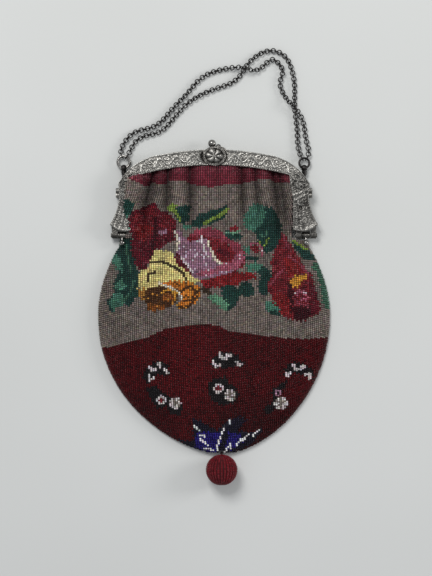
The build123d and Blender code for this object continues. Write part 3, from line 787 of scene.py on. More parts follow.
# Painted light on the swells of the red base left of its middle, and painted shade towards its tip.
painted_light_gain, painted_light_middle, painted_light_width, painted_light_drop = 0.42, -14, 16, 0.08
tip_shade, tip_from, tip_ramp, full_light = 0.3, -70.0, 18.0, 0.95
arch_pale_reach, arch_pale_tint = 2.6, linear((104, 84, 88))
# Painted light on the puffs of the gathers and painted shade in their valleys.
puff_foot, puff_ramp, puff_light, valley_shade = 26.0, 14.0, 0.22, 0.7


def is_glass(pick, *names):
    """True for each bead whose colour is one of the named ones, as a column."""
    return np.isin(pick, [colour_names.index(name) for name in names])[:, None]


def soft_patches(x, y):
    """Broad light and dark patches: the product of two sines, each bent by a slower one."""
    return np.sin(0.31 * x + 1.7 * np.sin(0.23 * y)) * np.sin(0.37 * y + 1.3 * np.sin(0.29 * x))


def glass_colours(x, y):
    """Chart colours as light. Each bead differs a little from its neighbours and some are flecks. Some red
    beads carry a painted glint, the base has painted light left of its middle and painted shade towards the
    tip, the band turns paler at the arch, and the gathers get painted shade in their valleys and painted light
    on their puffs."""
    pick = chart_colours(x, y)
    shade = 1 + shade_spread * chance.standard_normal(len(x)) + patch_spread * soft_patches(x, y)
    fleck_and_glint_draw = chance.random(len(x))[:, None]
    light = colour_table[pick] * np.clip(shade, darkest, lightest)[:, None]
    light = np.where(is_glass(pick, *rosy_glass) & (fleck_and_glint_draw > pale_above), pale_fleck, light)
    light = np.where(is_glass(pick, "red", *rose_glass) & (fleck_and_glint_draw < dim_below), light * dim_share, light)
    # Painted highlight: a pale glint added to a few red beads.
    light = np.where(is_glass(pick, *rose_glass) & (fleck_and_glint_draw > glint_above), light + painted_rose_glint, light)
    light = np.where(is_glass(pick, *golden_glass) & (fleck_and_glint_draw < brown_below), brown_fleck, light)
    light = np.where(is_glass(pick, *golden_glass) & (fleck_and_glint_draw > gold_above), gold_fleck, light)
    light = light * (1 + tint_spread * chance.standard_normal((len(x), 3)))
    # Painted light on the base's swells, less a little everywhere, and painted shade towards the tip.
    base_light_and_shade = painted_light_gain * bell(x, painted_light_middle, painted_light_width) - painted_light_drop
    base_light_and_shade = base_light_and_shade - tip_shade * smooth_step((tip_from - y) / tip_ramp)
    light = np.where(is_glass(pick, "red"), light * (1 + base_light_and_shade)[:, None], light)
    # The band's beads turn paler close to the arch, by chance one by one.
    arch_paling = np.exp(-np.clip(arch_edge(x) - y, 0, None) / arch_pale_reach) * chance.random(len(x)) ** 2
    light = light + arch_paling[:, None] * arch_pale_tint
    # Painted shade in the valleys of the gathers and painted light on the puffs between them.
    valley = fold_valleys(x, y)
    puff = 1 + puff_light * smooth_step((y - puff_foot) / puff_ramp) * np.clip(1 - valley, 0, 1)
    light = light * (puff / (1 + valley_shade * valley))[:, None]
    return np.clip(light, 0, full_light)


print("flecks in", ", ".join(rosy_glass + golden_glass + rose_glass))

# %% [markdown]
# ## Beads in rows
# The rows run across the bag and sink a little towards its sides. Along each row the beads sit one pitch
# apart, counted along the curved surface from the middle line, so they turn the edge without bunching up.
# Copies of one bead object would be lighter to handle, but each bead has its own size and colour and belongs
# to the finished mesh. So all beads of a field are one array, and each is a closed grain of fourteen points.

# %% One bead and many
bead_sides, shoulder_reach, shoulder_place = 6, 0.94, 0.52
turn = np.arange(bead_sides) * 2 * np.pi / bead_sides + np.pi / bead_sides
ring = np.stack([np.zeros(bead_sides), np.cos(turn), np.sin(turn)], 1) * shoulder_reach
shoulder = np.array([shoulder_place, 0, 0])
bead_points = np.concatenate([[(-1.0, 0, 0)], ring - shoulder, ring + shoulder, [(1.0, 0, 0)]])
left_ring, right_ring, right_tip = 1, 1 + bead_sides, 1 + 2 * bead_sides
around = np.arange(bead_sides)
after = (around + 1) % bead_sides
bead_faces = np.concatenate([
    np.stack([np.zeros(bead_sides, int), left_ring + after, left_ring + around], 1),
    np.stack([left_ring + around, left_ring + after, right_ring + after], 1),
    np.stack([left_ring + around, right_ring + after, right_ring + around], 1),
    np.stack([np.full(bead_sides, right_tip), right_ring + around, right_ring + after], 1),
])


def bead_mesh(centres, along, across, up, sizes):
    """All beads at once: each point is its centre plus the bead's own three axes times the unit bead."""
    axes = np.stack([along, across, up], 1)[:, None]
    spread = bead_points[None, :, :, None] * axes * sizes[:, None, :, None]
    points = centres[:, None] + spread.sum(2)
    faces = bead_faces[None] + (np.arange(len(centres)) * len(bead_points))[:, None, None]
    return points.reshape(-1, 3), faces.reshape(-1, 3)


print("one bead has", len(bead_points), "points and", len(bead_faces), "faces")

# %% Places in the rows
column_pitch, row_pitch = 1.34, 1.02
first_row_rise, last_row_share = 0.4, 0.994
row_heights = np.arange(arch_y + first_row_rise, hinge_y - last_row_share * bag_drop, -row_pitch)
sink_most, sink_from, sink_ramp, sink_width_power = 11.0, 35.0, 75.0, 1.5
sink_half, sink_limit, sink_power = 62.0, 1.2, 1.7
row_samples, row_reach, sewn_in = 700, 71.0, 0.35
knot_place, knot_room = (4.6, -111.83), 1.7
least_length = 1e-9


def unit(vectors):
    """Vectors divided by their own lengths."""
    return vectors / np.maximum(np.linalg.norm(vectors, axis=-1, keepdims=True), least_length)


def path_run(points):
    """How far along a path each of its points lies: the straight pieces before it, added up."""
    return np.concatenate([[0], np.cumsum(np.linalg.norm(np.diff(points, axis=0), axis=1))])


def row_sink(x, y):
    """Rows arch: the most sink, times how far down the row is, how wide the bag is there and how far out the
    place is, the last two raised to a power."""
    reach = np.clip(np.abs(x) / sink_half, 0, sink_limit)
    wide = (bag_half(y) / bag_half_width) ** sink_width_power
    return sink_most * smooth_step((sink_from - y) / sink_ramp) * wide * reach**sink_power


def bead_places(height, edge_share, covers_arm):
    """Walk each row from the middle outwards and stop at the bag's edge, at the arch, where the last beads
    are sewn into the frame, and round the knot of the ball, which needs room to turn. Gives x, y of each."""
    found = []
    steps = np.linspace(0, 1, row_samples)
    for level in row_heights:
        for side in (-1, 1):
            x = bag_middle(level) + side * steps * row_reach
            y = level - row_sink(x, level)
            run = path_run(np.stack([x, y, height(x, y)], 1))
            over = np.abs(x - bag_middle(y)) > bag_limit(y, covers_arm and side < 0) * edge_share
            end = run[np.argmax(over)] if over.any() else run[-1]
            marks = np.arange(column_pitch * 0.5, end, column_pitch)
            bead_x = np.interp(marks, run, x)
            found.append(np.stack([bead_x, level - row_sink(bead_x, level)], 1))
    spots = np.concatenate(found)
    beside_knot = np.hypot(*(spots - knot_place).T) > knot_room
    return spots[beside_knot & (spots[:, 1] < arch_edge(spots[:, 0]) + sewn_in)]


def surface_frames(x, y, height):
    """Slopes by small steps: along the row, down the column, and the way out of the surface."""
    step = 0.15
    z = height(x, y)
    slope_x = (height(x + step, y) - height(x - step, y)) / (2 * step)
    slope_y = (height(x, y + step) - height(x, y - step)) / (2 * step)
    up = unit(np.stack([-slope_x, -slope_y, np.ones_like(x)], 1))
    lean = -(row_sink(x + step, y) - row_sink(x - step, y)) / (2 * step)
    along = unit(np.stack([np.ones_like(x), lean, slope_x + lean * slope_y], 1))
    across = np.cross(up, along)
    return np.stack([x, y, z], 1), along, across, up


print(len(row_heights), "rows of beads")

# %% [markdown]
# ## Glass
# Seed beads are coloured glass with a small bright highlight each, some worn dull. A see-through glass shader
# would be slow and grainy at this size. A coloured body with a smooth surface, rougher here and there, looks
# the same from a hand's distance. The colour is stored on the points, so each bead keeps its own.

# %% Bead finish
bead_polish, bead_wear = 0.06, 0.3
bead_finish = Finish("glass_beads", Specular_IOR_Level=0.16)
bead_tint = bead_finish.node("ShaderNodeAttribute", {"attribute_name": "bead_colour"})
bead_finish.feed("Base Color", bead_tint)
bead_grain = bead_finish.node(
    "ShaderNodeTexNoise", None, {"Vector": bead_finish.place(), "Scale": 900.0, "Detail": 1.0}
)
bead_finish.feed("Roughness", bead_grain * bead_wear + bead_polish)
print("glass from", len(bead_finish.tree.nodes), "nodes")

# %% Beads on the front and the back
bead_half_sizes, size_spread = np.array([0.63, 0.59, 0.54]), 0.05
back_fold_lines = hang_half * np.array([-0.66, -0.45, -0.22, 0.22, 0.45, 0.66])
back_fold_width, back_fold_rise, back_fold_foot, back_fold_ramp = 1.2, 0.5, 5.0, 12.0


def bead_piece(name, spots, height, lift, flip=False):
    """The beads of one field, sitting a little sunk in the cloth, in their chart colours."""
    x, y = spots.T
    centres, along, across, up = surface_frames(x, y, height)
    if flip:
        up, across = -up, -across
    sizes = bead_half_sizes * (1 + size_spread * chance.standard_normal((len(x), 1)))
    points, faces = bead_mesh(centres + up * lift, along, across, up, sizes)
    colours = np.repeat(glass_colours(x, y), len(bead_points), axis=0)
    return new_piece(name, points, faces, bead_finish, colours=colours)


def back_height(x, y):
    """The back lies flat on the table, with room for its own beads. At the neck it rises in narrow gathers,
    a bell curve each."""
    gathers = sum(bell(x, line, back_fold_width) for line in back_fold_lines)
    return bead_room + back_fold_rise * gathers * smooth_step((y - back_fold_foot) / back_fold_ramp)


def in_band(spots, low, high):
    """The beads between two heights."""
    return spots[(spots[:, 1] > low) & (spots[:, 1] <= high)]


front_edge_share, back_edge_share = 0.998, 0.975
front_lift, back_lift = -0.12, 0.02
front_spots = bead_places(front_height, front_edge_share, True)
back_spots = bead_places(back_height, back_edge_share, False)
root, lid, swing = "back_and_bag", "front_half", "hanging_ball"
above_all, below_all = 99.0, -200.0
front_bands = {"neck": (8.0, above_all), "roses": (-36.0, 8.0), "base": (below_all, -36.0)}
back_bands = {"upper": (-25.0, above_all), "lower": (below_all, -25.0)}
for part, (low, high) in front_bands.items():
    piece = bead_piece(f"{part}_front_beads", in_band(front_spots, low, high), front_height, front_lift)
    if part == "neck":
        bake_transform(piece)
    else:
        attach(piece, root)
for part, (low, high) in back_bands.items():
    picked = in_band(back_spots, low, high)
    piece = bead_piece(f"{part}_back_beads", picked, back_height, back_lift, flip=True)
    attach(piece, root)
print(len(front_spots), "beads in front,", len(back_spots), "at the back")

# %% [markdown]
# ## Knitted cloth under the beads
# Between the beads, and inside the open purse, the knitting thread shows. Its colour is painted shade between
# the beads: darker than the beads but tinged by them. Single stitches would need millions of points and lie
# hidden, so the cloth is a thin closed shell, one for the front and one for the back, just under the middles of
# the beads. Its stitches are a bump, and it takes the chart's colours, with their painted light and shade, at a
# third of their light.

# %% Thread finish
thread_finish = Finish("knitting_thread", Roughness=0.85, Sheen_Weight=0.3)
thread_spot = thread_finish.place()
stitch = thread_finish.node(
    "ShaderNodeTexWave", {"bands_direction": "X"}, {"Vector": thread_spot, "Scale": 230.0, "Distortion": 2.0}
)
thread_shade = thread_finish.node(
    "ShaderNodeTexNoise", None, {"Vector": thread_spot, "Scale": 60.0, "Detail": 4.0}
)
thread_tint = thread_finish.node("ShaderNodeAttribute", {"attribute_name": "bead_colour"})
thread_stops = [(0.3, (0.6, 0.6, 0.6)), (0.75, (1.0, 1.0, 1.0))]
thread_mottle = thread_finish.node("ShaderNodeValToRGB", {"stops": thread_stops}, {"Fac": thread_shade})
thread_finish.feed(
    "Base Color",
    thread_finish.node(
        "ShaderNodeMix", {"data_type": "RGBA", "blend_type": "MULTIPLY"},
        {0: 1.0, 6: thread_tint, 7: thread_mottle}, out=2,
    ),
)
thread_finish.bump(stitch + thread_shade * 0.5, strength=0.6, distance=0.0004)
print("thread from", len(thread_finish.tree.nodes), "nodes")


# %% Cloth in front and behind
def shell_piece(name, top, bottom, finish, slot, colours=None):
    """A closed shell from two grids of the same shape: top, bottom and a strip along the shared rim."""
    rows, columns = top.shape[:2]
    faces = grid_faces(rows, columns)
    count = rows * columns
    index = np.arange(count).reshape(rows, columns)
    rim = np.concatenate([index[0, :-1], index[:-1, -1], index[-1, :0:-1], index[:0:-1, 0]])
    ahead = np.roll(rim, -1)
    strip = np.stack([rim, rim + count, ahead + count, ahead], 1)
    faces = np.concatenate([faces[:, ::-1], faces + count, strip[:, ::-1]])
    points = np.concatenate([top.reshape(-1, 3), bottom.reshape(-1, 3)])
    if colours is not None:
        colours = np.concatenate([colours.reshape(-1, 3)] * 2)
    return new_piece(name, points, faces, finish, colours=colours)


cloth_rows, cloth_columns = 131, 103
cloth_rise, cloth_foot_share, cloth_edge_share = 0.7, 0.98, 0.994
arch_from, least_height, gap_shade_share = 35.0, 0.12, 0.34
cloth_foot = hinge_y - cloth_foot_share * bag_drop
cloth_level = np.linspace(arch_y + cloth_rise, cloth_foot, cloth_rows)[:, None]
sideways = np.sin(np.linspace(-1, 1, cloth_columns) * np.pi / 2)[None]


def cloth_piece(name, height, depths, side, covers_arm):
    """Two grids under the beads, each the surface moved in along its own outward way by some depth. Near the
    arch the rows of the grid bend with it."""
    limit = np.where(sideways < 0, bag_limit(cloth_level, covers_arm), bag_limit(cloth_level, False))
    x = bag_middle(cloth_level) + sideways * limit * cloth_edge_share
    bend = smooth_step((cloth_level - arch_from) / (arch_y - arch_from))
    y = cloth_level - bend * (arch_y - arch_edge(x))
    centres, _, _, up = surface_frames(x.ravel(), y.ravel(), height)
    # Painted shade between the beads: the chart's colours at a third of their light.
    tint = glass_colours(x.ravel(), y.ravel()) * gap_shade_share
    layers = []
    for depth in depths:
        moved = centres - side * up * depth
        moved[:, 2] = np.clip(moved[:, 2], least_height, None)
        layers.append(moved.reshape(*x.shape, 3))
    return shell_piece(name, *layers, thread_finish, "beadwork", tint)


front_cloth = cloth_piece("front_cloth", front_height, depths=(0.42, 0.95), side=1, covers_arm=True)
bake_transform(front_cloth)
back_cloth = cloth_piece("back_cloth", back_height, depths=(0.75, 0.2), side=-1, covers_arm=False)
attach(back_cloth, root)
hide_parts("beaded_bag")

# %% [markdown]
# ## The ball at the foot
# A core wrapped in thread carries strings of crimson beads from pole to pole. The strings lie close at the
# equator, and the beads get narrower towards the poles. A bump on a plain ball would leave its outline
# smooth, so these are single beads too, made by the same function as the bag's.

# %% Core of the ball
ball_centre, ball_red = np.array([4.6, -121.476, 9.65]), linear((102, 24, 31))
core_radius, core_rings, core_sides, pole_gap, core_shade_share = 8.6, 30, 40, 0.04, 0.3


def turned(radii, heights, sides):
    """A closed body of revolution about Y: rings of points and one point at each pole."""
    angle = np.arange(sides) * 2 * np.pi / sides
    rings = np.stack([
        radii[:, None] * np.cos(angle), np.repeat(heights[:, None], sides, 1), radii[:, None] * np.sin(angle)
    ], -1).reshape(-1, 3)
    points = np.concatenate([rings, [(0, heights[0], 0), (0, heights[-1], 0)]])
    here = np.arange(sides)
    there = (here + 1) % sides
    first, last, top = len(rings), len(rings) + 1, (len(radii) - 1) * sides
    first_cap = np.stack([np.full(sides, first), there, here], 1)
    last_cap = np.stack([np.full(sides, last), top + here, top + there], 1)
    quads = grid_faces(len(radii), sides, closed_across=True)
    return points, quads.tolist() + first_cap.tolist() + last_cap.tolist()


latitude = np.linspace(pole_gap, np.pi - pole_gap, core_rings)
core_points, core_faces = turned(core_radius * np.sin(latitude), core_radius * np.cos(latitude), core_sides)
# Painted shade between the strings: the core takes the ball's red at three tenths of its light.
core_colours = np.tile(ball_red * core_shade_share, (len(core_points), 1))
core_points = core_points + ball_centre
new_piece("ball_core", core_points, core_faces, thread_finish, swing, core_colours)

# %% Strings of beads on the ball
ball_radius, string_count, string_beads = 8.88, 28, 29
half_length, half_width, half_height = 0.56, 0.92, 0.7
least_width, least_rise, rise_power = 0.16, 0.3, 0.4
ball_size_spread, ball_shade_spread, dimmest, brightest = 0.03, 0.2, 0.5, 1.6
polar = (np.arange(string_beads) + 0.5) / string_beads * np.pi
string = np.arange(string_count) * 2 * np.pi / string_count
polar, string = (grid.ravel() for grid in np.meshgrid(polar, string, indexing="ij"))
out = np.stack([np.sin(polar) * np.cos(string), np.cos(polar), np.sin(polar) * np.sin(string)], 1)
down = np.stack([np.cos(polar) * np.cos(string), -np.sin(polar), np.cos(polar) * np.sin(string)], 1)
ball_sizes = np.stack([
    np.full(len(polar), half_length),
    np.clip(half_width * np.sin(polar), least_width, None),
    np.clip(half_height * np.sin(polar) ** rise_power, least_rise, None),
], 1)
ball_sizes = ball_sizes * (1 + ball_size_spread * chance.standard_normal((len(polar), 1)))
ball_places = ball_centre + out * ball_radius
ball_points, ball_faces = bead_mesh(ball_places, down, np.cross(out, down), out, ball_sizes)
ball_shade = 1 + ball_shade_spread * chance.standard_normal((len(polar), 1))
ball_light = ball_red * np.clip(ball_shade, dimmest, brightest)
ball_colours = np.repeat(ball_light, len(bead_points), axis=0)
ball_beads = new_piece(
    "ball_strings", ball_points, ball_faces, bead_finish, swing, ball_colours
)
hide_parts("bottom_ball")

# %% [markdown]
# ## Silver, dark metal and the knot's thread
# Old cast silver is bright where hands rub it and nearly black in its hollows. A painted picture could say
# where the tarnish sits. Here a tone stored on the relief's points says how high each place stands, and the
# finish runs from tarnish to bright metal with it. Plain pieces have no such tone and use soft noise. A fine
# stipple breaks up the reflections. The knot's thread has the same grain, only without the metal.

# %% Metal finishes
tone_share, tone_cloud, tone_drop = 0.8, 0.35, 0.08
plain_cloud, plain_drop = 1.3, 0.1
cloud_scale, cloud_roughness, cloud_bump = 260.0, 0.2, 0.4
hinge_dimming_range = {"From Min": 0.016, "From Max": 0.025, "To Min": 0.45}
dark_end, bright_end = 0.15, 0.85


def grained_finish(name, dark, bright, roughness, grain, depth, metal=1.0, toned=False, dim_near_hinges=False):
    """From a dark to a bright colour by the stored tone, or by soft noise where none is stored. Where asked,
    what lies around and below the hinges is made darker."""
    finish = Finish(name, Metallic=metal)
    spot = finish.place()
    stipple = finish.node("ShaderNodeTexVoronoi", None, {"Vector": spot, "Scale": grain, "Randomness": 0.9})
    cloud = finish.node("ShaderNodeTexNoise", None, {"Vector": spot, "Scale": cloud_scale, "Detail": 4.0})
    if toned:
        tone = finish.node("ShaderNodeAttribute", {"attribute_name": "bead_colour"}, out=2)
        level = tone * tone_share + cloud * tone_cloud - tone_drop
    else:
        level = cloud * plain_cloud - plain_drop
    # Pieces are darker around and below the hinges.
    if dim_near_hinges:
        height_up = finish.node("ShaderNodeSeparateXYZ", None, {"Vector": spot}, out=1)
        level = level * finish.node("ShaderNodeMapRange", None, {"Value": height_up, **hinge_dimming_range})
    ramp = {"stops": [(dark_end, dark), (bright_end, bright)]}
    finish.feed("Base Color", finish.node("ShaderNodeValToRGB", ramp, {"Fac": level}))
    finish.feed("Roughness", roughness + cloud_roughness * cloud)
    finish.bump(stipple + cloud * cloud_bump, strength=0.45, distance=depth)
    return finish


silver = grained_finish(
    "cast_silver", dark=linear((44, 42, 40)), bright=linear((156, 153, 147)),
    roughness=0.26, grain=1400.0, depth=0.0003, dim_near_hinges=True,
)
plain_silver = grained_finish(
    "turned_silver", dark=linear((44, 42, 40)), bright=linear((176, 173, 168)),
    roughness=0.16, grain=1400.0, depth=0.0001,
)
relief_silver = grained_finish(
    "relief_silver", dark=linear((34, 32, 30)), bright=linear((192, 189, 182)),
    roughness=0.26, grain=1300.0, depth=0.0003, toned=True,
)
dark_metal = grained_finish(
    "chain_metal", dark=linear((22, 21, 21)), bright=linear((70, 67, 66)),
    roughness=0.3, grain=1800.0, depth=0.00012,
)
knot_thread = grained_finish(
    "knot_thread", dark=linear((28, 12, 14)), bright=linear((64, 26, 30)),
    roughness=0.6, grain=1500.0, depth=0.0003, metal=0.0,
)


def packed_finish(name):
    """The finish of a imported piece, by its name."""
    if name == "ball_thread":
        return knot_thread
    if "strand" in name or "lug" in name or name == "right_chain_ring":
        return dark_metal
    if "finial" in name or "knob" in name or "ring" in name:
        return plain_silver
    return silver


for name, node in nodes.items():
    node.data.materials.clear()
    node.data.materials.append(packed_finish(name).material)
print("finishes on", len(nodes), "packed pieces")

# %% [markdown]
# ## Relief on the frame
# The frame's face is a band of small cast scrolls on a grained ground between two rims, with a shell at each
# foot. It could be sculpted, or pushed up from a height picture. As a sum of formulas it needs neither, and
# its heights can also colour the silver. The band is a grid: one parameter runs along it from the middle to
# the foot, the other from the inner edge to the outer one. Its height is a sum of ridges: a winding stem,
# curls on both sides of it, grains all over, faint flutes that fan out over the feet and two ribs on each
# arm. The inner rim is pricked with holes, where the cloth is sewn on.

# %% Edges of the frame
shoulder_point, waist_point, outer_foot = (30, 67.6), (57.4, 50.0), (62.4, 25.4)
mouth_corner, arm_point, inner_foot = (45, 55.2), (47.4, 40.0), (47.4, 22.3)
outer_half, inner_half = 80, 90


def arc_through(a, b, c, count):
    """Points on the circle through three points, from the first by the second to the third. The circle's
    middle is where the lines that halve two of the gaps meet."""
    (ax, ay), (bx, by), (cx, cy) = a, b, c
    d = 2 * (ax * (by - cy) + bx * (cy - ay) + cx * (ay - by))
    sq = [x * x + y * y for x, y in (a, b, c)]
    ux = (sq[0] * (by - cy) + sq[1] * (cy - ay) + sq[2] * (ay - by)) / d
    uy = (sq[0] * (cx - bx) + sq[1] * (ax - cx) + sq[2] * (bx - ax)) / d
    turns = np.unwrap([np.arctan2(y - uy, x - ux) for x, y in (a, b, c)])
    angle = np.interp(np.linspace(0, 1, count), [0, 0.5, 1], turns)
    radius = np.hypot(ax - ux, ay - uy)
    return np.stack([ux + radius * np.cos(angle), uy + radius * np.sin(angle)], 1)


outer_edge = np.concatenate([
    arc_through((-30, 67.6), (0, 70.4), shoulder_point, 2 * outer_half + 1)[outer_half:],
    arc_through(shoulder_point, (47.5, 61.2), waist_point, 60)[1:],
    arc_through(waist_point, (57.0, 40.0), outer_foot, 70)[1:],
])
inner_edge = np.concatenate([
    arc_through((-45, 55.2), (0, 61.2), mouth_corner, 2 * inner_half + 1)[inner_half:],
    np.linspace(mouth_corner, arm_point, 60)[1:],
    np.linspace(arm_point, inner_foot, 60)[1:],
])
band_rows, band_columns, rim_steps = 301, 37, 101
along_share = np.linspace(0, 1, band_rows)
across_share = np.linspace(0.02, 0.98, band_columns)
edge_marks = [0, 0.34, 0.62, 0.76, 1]
rim_from, rim_ramp = 0.82, 0.18


def even_steps(edge, keys):
    """Points on an edge, spread so that its share of length at each key falls at the mark of that key."""
    run = path_run(edge)
    place = np.interp(along_share, edge_marks, keys) * run[-1]
    return np.stack([np.interp(place, run, edge[:, 0]), np.interp(place, run, edge[:, 1])], 1)


outer = even_steps(outer_edge, [0, 0.32, 0.66, 0.78, 1])
inner = even_steps(inner_edge, [0, 0.36, 0.6, 0.79, 1])
foot_rim = arc_through(inner_foot, (54.9, 21.4), outer_foot, rim_steps)
rim_run = np.linspace(0, 1, rim_steps)
rim = np.stack([np.interp(across_share, rim_run, foot_rim[:, k]) for k in (0, 1)], 1)
flat = inner[:, None] * (1 - across_share[:, None]) + outer[:, None] * across_share[:, None]
to_rim = smooth_step((along_share - rim_from) / rim_ramp)[:, None, None]
band = flat + to_rim * (rim[None] - flat[-1:])
run_along = path_run(band[:, band_columns // 2])[:, None]
width = np.linalg.norm(outer - inner, axis=1)[:, None]
offset = (across_share - 0.5) * width
print("band along the frame", round(float(run_along[-1, 0]), 1), "mm for one side")

# %% Scrolls and grains
wave_length, wave_swing, stem_height, stem_width = 10.0, 0.22, 0.55, 0.6
curl_count, curl_side, curl_height, curl_reach, curl_wind = 18, 0.2, 0.5, 2.2, 3.0
lattice_rows, lattice_columns, grain_share, far_away = 199, 61, 0.42, 9.0


def grains(run, off, pitch):
    """Round grains: one point in each cell of a lattice, moved by chance, and a bell curve of the distance to
    the nearest point."""
    shift = chance.random((lattice_rows, lattice_columns, 2))
    row, column = np.floor(run / pitch).astype(int), np.floor(off / pitch).astype(int)
    nearest = np.full(np.broadcast(run, off).shape, far_away)
    for row_step, column_step in np.ndindex(3, 3):
        r, c = row + row_step - 1, column + column_step - 1
        moved = shift[r % lattice_rows, c % lattice_columns]
        gap = np.hypot(run - (r + moved[..., 0]) * pitch, off - (c + moved[..., 1]) * pitch)
        nearest = np.minimum(nearest, gap)
    return bell(nearest, 0, grain_share * pitch)


winding = wave_swing * width * np.sin(2 * np.pi * run_along / wave_length)
stem = stem_height * bell(offset, winding, stem_width)
curls = np.zeros_like(stem)
for k in range(curl_count):
    run_gap = run_along - wave_length * (k / 2 + 0.25)
    side_gap = offset - (curl_side if k % 2 else -curl_side) * width
    reach = np.hypot(run_gap, side_gap)
    curl = np.cos(2 * np.arctan2(side_gap, run_gap) - curl_wind * reach) * bell(reach, 0, curl_reach)
    curls += curl_height * np.clip(curl, 0, None)
print("stem and", curl_count, "curls up to", round(float((stem + curls).max()), 2), "mm")

# %% Heights of the relief
across, place = across_share[None], along_share[:, None]
arm_from, arm_ramp_share, scroll_end, foot_from, foot_ramp = 0.56, 0.08, 0.8, 0.82, 0.05
rib_places, rib_width, rib_height = (0.725, 0.757), 0.011, 0.5
flute_count, flute_floor, flute_rise = 5, 0.1, 0.2
hole_pitch, hole_floor, hole_rise = 1.5, 0.12, 0.3
coarse_pitch, coarse_height, fine_pitch, fine_height = 1.25, 0.22, 0.8, 0.1
rim_ridge, rim_ridge_place, rim_ridge_width, inner_rim_width = 0.5, 0.97, 0.06, 0.13
lip_height, lip_place, lip_width = 0.7, 0.99, 0.012
ground, skin, tallest = 0.1, 0.05, 1.15
medallion_middle, medallion_half = (0.3, 66.5), (8.2, 7.0)
medallion_clear, medallion_ramp = 0.85, 0.25
arm_dimming, inner_rim_dimming, plain_lustre, lip_lustre = 0.58, 0.35, 0.9, 0.25
arms = smooth_step((place - arm_from) / arm_ramp_share)
scrolls = (stem + curls) * (1 - smooth_step((place - scroll_end) / foot_ramp))
ribs = rib_height * arms * sum(bell(place, rib, rib_width) for rib in rib_places)
fan = flute_floor + flute_rise * np.abs(np.cos(np.pi * flute_count * across))
flutes = smooth_step((place - foot_from) / foot_ramp) * fan
outer_rim = rim_ridge * bell(across, rim_ridge_place, rim_ridge_width)
inner_rim = bell(across, 0, inner_rim_width) * (1 - arms)
pricked = inner_rim * (hole_floor + hole_rise * np.sin(np.pi * run_along / hole_pitch) ** 2)
foot_lip = lip_height * bell(place, lip_place, lip_width)
coarse = grains(run_along, offset, coarse_pitch) * coarse_height
fine = grains(run_along, offset, fine_pitch) * fine_height
grain = (coarse + fine) * (1 - inner_rim)
ridges = np.maximum(np.maximum(scrolls, flutes), np.maximum(outer_rim + pricked, ribs))
relief = ground + ridges + foot_lip + grain
medallion_gap = np.hypot(*np.moveaxis((band - medallion_middle) / medallion_half, -1, 0))
beside_medallion = smooth_step((medallion_gap - medallion_clear) / medallion_ramp)
relief = np.minimum(relief * beside_medallion + skin, tallest)
# The arms and the pricked inner rim are darker, the foot lip brighter.
lustre = (1 - arm_dimming * arms) * (1 - inner_rim_dimming * inner_rim) * (plain_lustre + lip_lustre * foot_lip)
print("relief up to", round(float(relief.max()), 2), "mm")

# %% Relief shells on both halves
relief_root, full_tone = 0.25, 0.7
front_face, back_face, back_share = 8.4, 0.6, 0.42


def relief_side(side, face, out, share, every):
    """One side of the band: the grid mirrored to the left or right, raised from the face by the relief. Every
    point of it is used, or every second."""
    top = np.concatenate([band * [side, 1], np.full((*band.shape[:2], 1), face)], -1)
    bottom = top.copy()
    top[..., 2] += out * relief * share
    bottom[..., 2] -= out * relief_root
    tone = np.repeat((np.clip(relief / full_tone, 0, 1) * lustre)[..., None], 3, -1)
    turn_back = -every if side * out < 0 else every
    return [grid[::every, ::turn_back] for grid in (top, bottom, tone)]


relief_halves = (("front", lid, front_face, 1, 1.0, 1), ("back", root, back_face, -1, back_share, 2))
for half, body, face, out, share, every in relief_halves:
    for side, side_name in ((1, "right"), (-1, "left")):
        top, bottom, tone = relief_side(side, face, out, share, every)
        piece = shell_piece(f"{half}_relief_{side_name}", top, bottom, relief_silver, "frame_silver", tone)
        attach(piece, body)

# %% [markdown]
# ## The clasp's rosette
# The oval on the front half carries a small cast flower inside a twisted rim. It could be put together petal
# by petal, but cast petals run into each other. So it is one closed round body, pressed to an oval, whose top
# rises and falls with the angle and the reach.

# %% Rosette on the front oval
rosette_middle, rosette_half = np.array([0.3, 66.5, 9.6]), np.array([6.5, 5.3, 1.0])
top_rings, rosette_sides, hub, rosette_foot, foot_below = 20, 84, 0.03, -0.5, -0.1
petal_height, petal_reach, petal_turn, petal_round, petal_slope = 0.75, 0.84, 0.4, 0.7, 0.8
rim_height, rim_reach, rim_width = 0.7, 0.92, 0.06
half_petals, twist_count, twist_floor, twist_rise = 3, 26, 0.65, 0.35
bud_height, bud_width, rosette_rise, rosette_tone_most, least_tone = 0.8, 0.16, 0.9, 0.6, 0.05
ring_reach = np.concatenate([np.linspace(hub, 1.0, top_rings), [1.0, 0.5, hub]])
ring_level = np.concatenate([np.zeros(top_rings), [rosette_foot] * 3])
rosette, rosette_faces = turned(ring_reach, ring_level, rosette_sides)
rosette = np.stack([rosette[:, 0], -rosette[:, 2], rosette[:, 1]], 1)
reach, angle = np.hypot(rosette[:, 0], rosette[:, 1]), np.arctan2(rosette[:, 1], rosette[:, 0])
swell = np.clip(np.sin(np.pi * reach / petal_reach), 0, None) ** petal_slope
petals = petal_height * np.abs(np.cos(half_petals * angle + petal_turn)) ** petal_round * swell
strands = twist_floor + twist_rise * np.cos(twist_count * angle)
twist = rim_height * bell(reach, rim_reach, rim_width) * strands
bud = bud_height * bell(reach, 0, bud_width)
is_foot = rosette[:, 2] < foot_below
raised = np.where(is_foot, 0.0, np.maximum(petals * (reach < petal_reach), twist) + bud)
rosette = rosette * rosette_half + rosette_middle
rosette[:, 2] += rosette_rise * raised
rosette_tone = rosette_tone_most * np.clip(raised / petal_height, least_tone, 1)
rosette_colours = np.repeat(rosette_tone[:, None], 3, 1)
new_piece("clasp_rosette", rosette, rosette_faces, relief_silver, lid, rosette_colours)

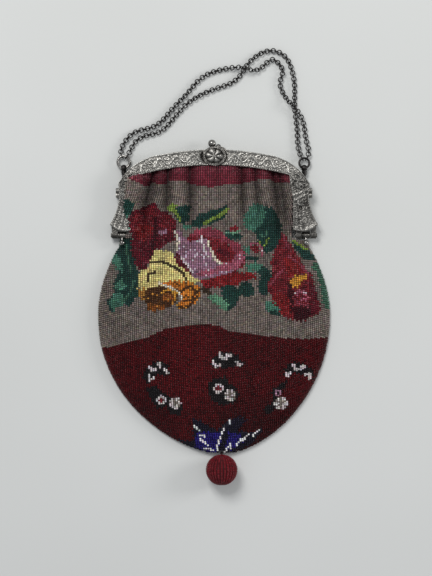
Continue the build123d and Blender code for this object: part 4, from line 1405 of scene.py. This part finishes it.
# %% [markdown]
# ## Round chain links
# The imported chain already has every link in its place, as a flat six-sided ring. A real link is bent from
# round wire. An array of links along a curve could stand for it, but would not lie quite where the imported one
# does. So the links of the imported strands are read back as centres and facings, and a slim ring of round wire
# takes the place of each.

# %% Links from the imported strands
link_corners, wire_radius, wire_gap = 144, 0.33, 0.12
ring_steps, wire_sides = 12, 5


def link_frames(node):
    """Split a strand's triangles into links by their order. Gives each link's centre, its own axes, the
    thinnest last, and its reach."""
    mesh = node.data
    points = np.empty(len(mesh.vertices) * 3)
    mesh.vertices.foreach_get("co", points)
    points = points.reshape(-1, 3) / mm
    loops = np.empty(len(mesh.loops), int)
    mesh.loops.foreach_get("vertex_index", loops)
    links = points[loops].reshape(-1, link_corners, 3)
    spread = links - links.mean(1, keepdims=True)
    _, _, axes = np.linalg.svd(spread, full_matrices=False)
    return links.mean(1), axes, np.linalg.norm(spread, axis=2).max(1)


u = np.arange(ring_steps) * 2 * np.pi / ring_steps
v = np.arange(wire_sides) * 2 * np.pi / wire_sides
u, v = np.meshgrid(u, v, indexing="ij")
step, side_step = np.meshgrid(np.arange(ring_steps), np.arange(wire_sides), indexing="ij")
next_step, next_side = (step + 1) % ring_steps, (side_step + 1) % wire_sides
link_faces = np.stack([
    step * wire_sides + side_step, next_step * wire_sides + side_step,
    next_step * wire_sides + next_side, step * wire_sides + next_side,
], -1).reshape(-1, 4)


def chain_strand(name, node_name):
    """Torus links: centre + (R + r cos v)(cos u, sin u) in the link's plane + r sin v along its facing."""
    centres, axes, reach = link_frames(nodes[node_name])
    flat = (reach - wire_gap - wire_radius)[:, None, None] + wire_radius * np.cos(v)[None]
    rise = np.broadcast_to(wire_radius * np.sin(v), flat.shape)
    local = np.stack([flat * np.cos(u), flat * np.sin(u), rise], -1)
    facing = np.cross(axes[:, 0], axes[:, 1])
    frames = np.stack([axes[:, 0], axes[:, 1], facing], 1)
    points = centres[:, None] + np.einsum("nabk,nkc->nabc", local, frames).reshape(len(centres), -1, 3)
    faces = link_faces[None] + (np.arange(len(centres)) * ring_steps * wire_sides)[:, None, None]
    piece = new_piece(name, points.reshape(-1, 3), faces.reshape(-1, 4), dark_metal, root)
    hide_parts(node_name)
    print(len(centres), "links of radius", round(float(reach.min()), 2), "to", round(float(reach.max()), 2))


chain_strand("over_chain_links", "over_chain_strand")
chain_strand("under_chain_links", "under_chain_strand")
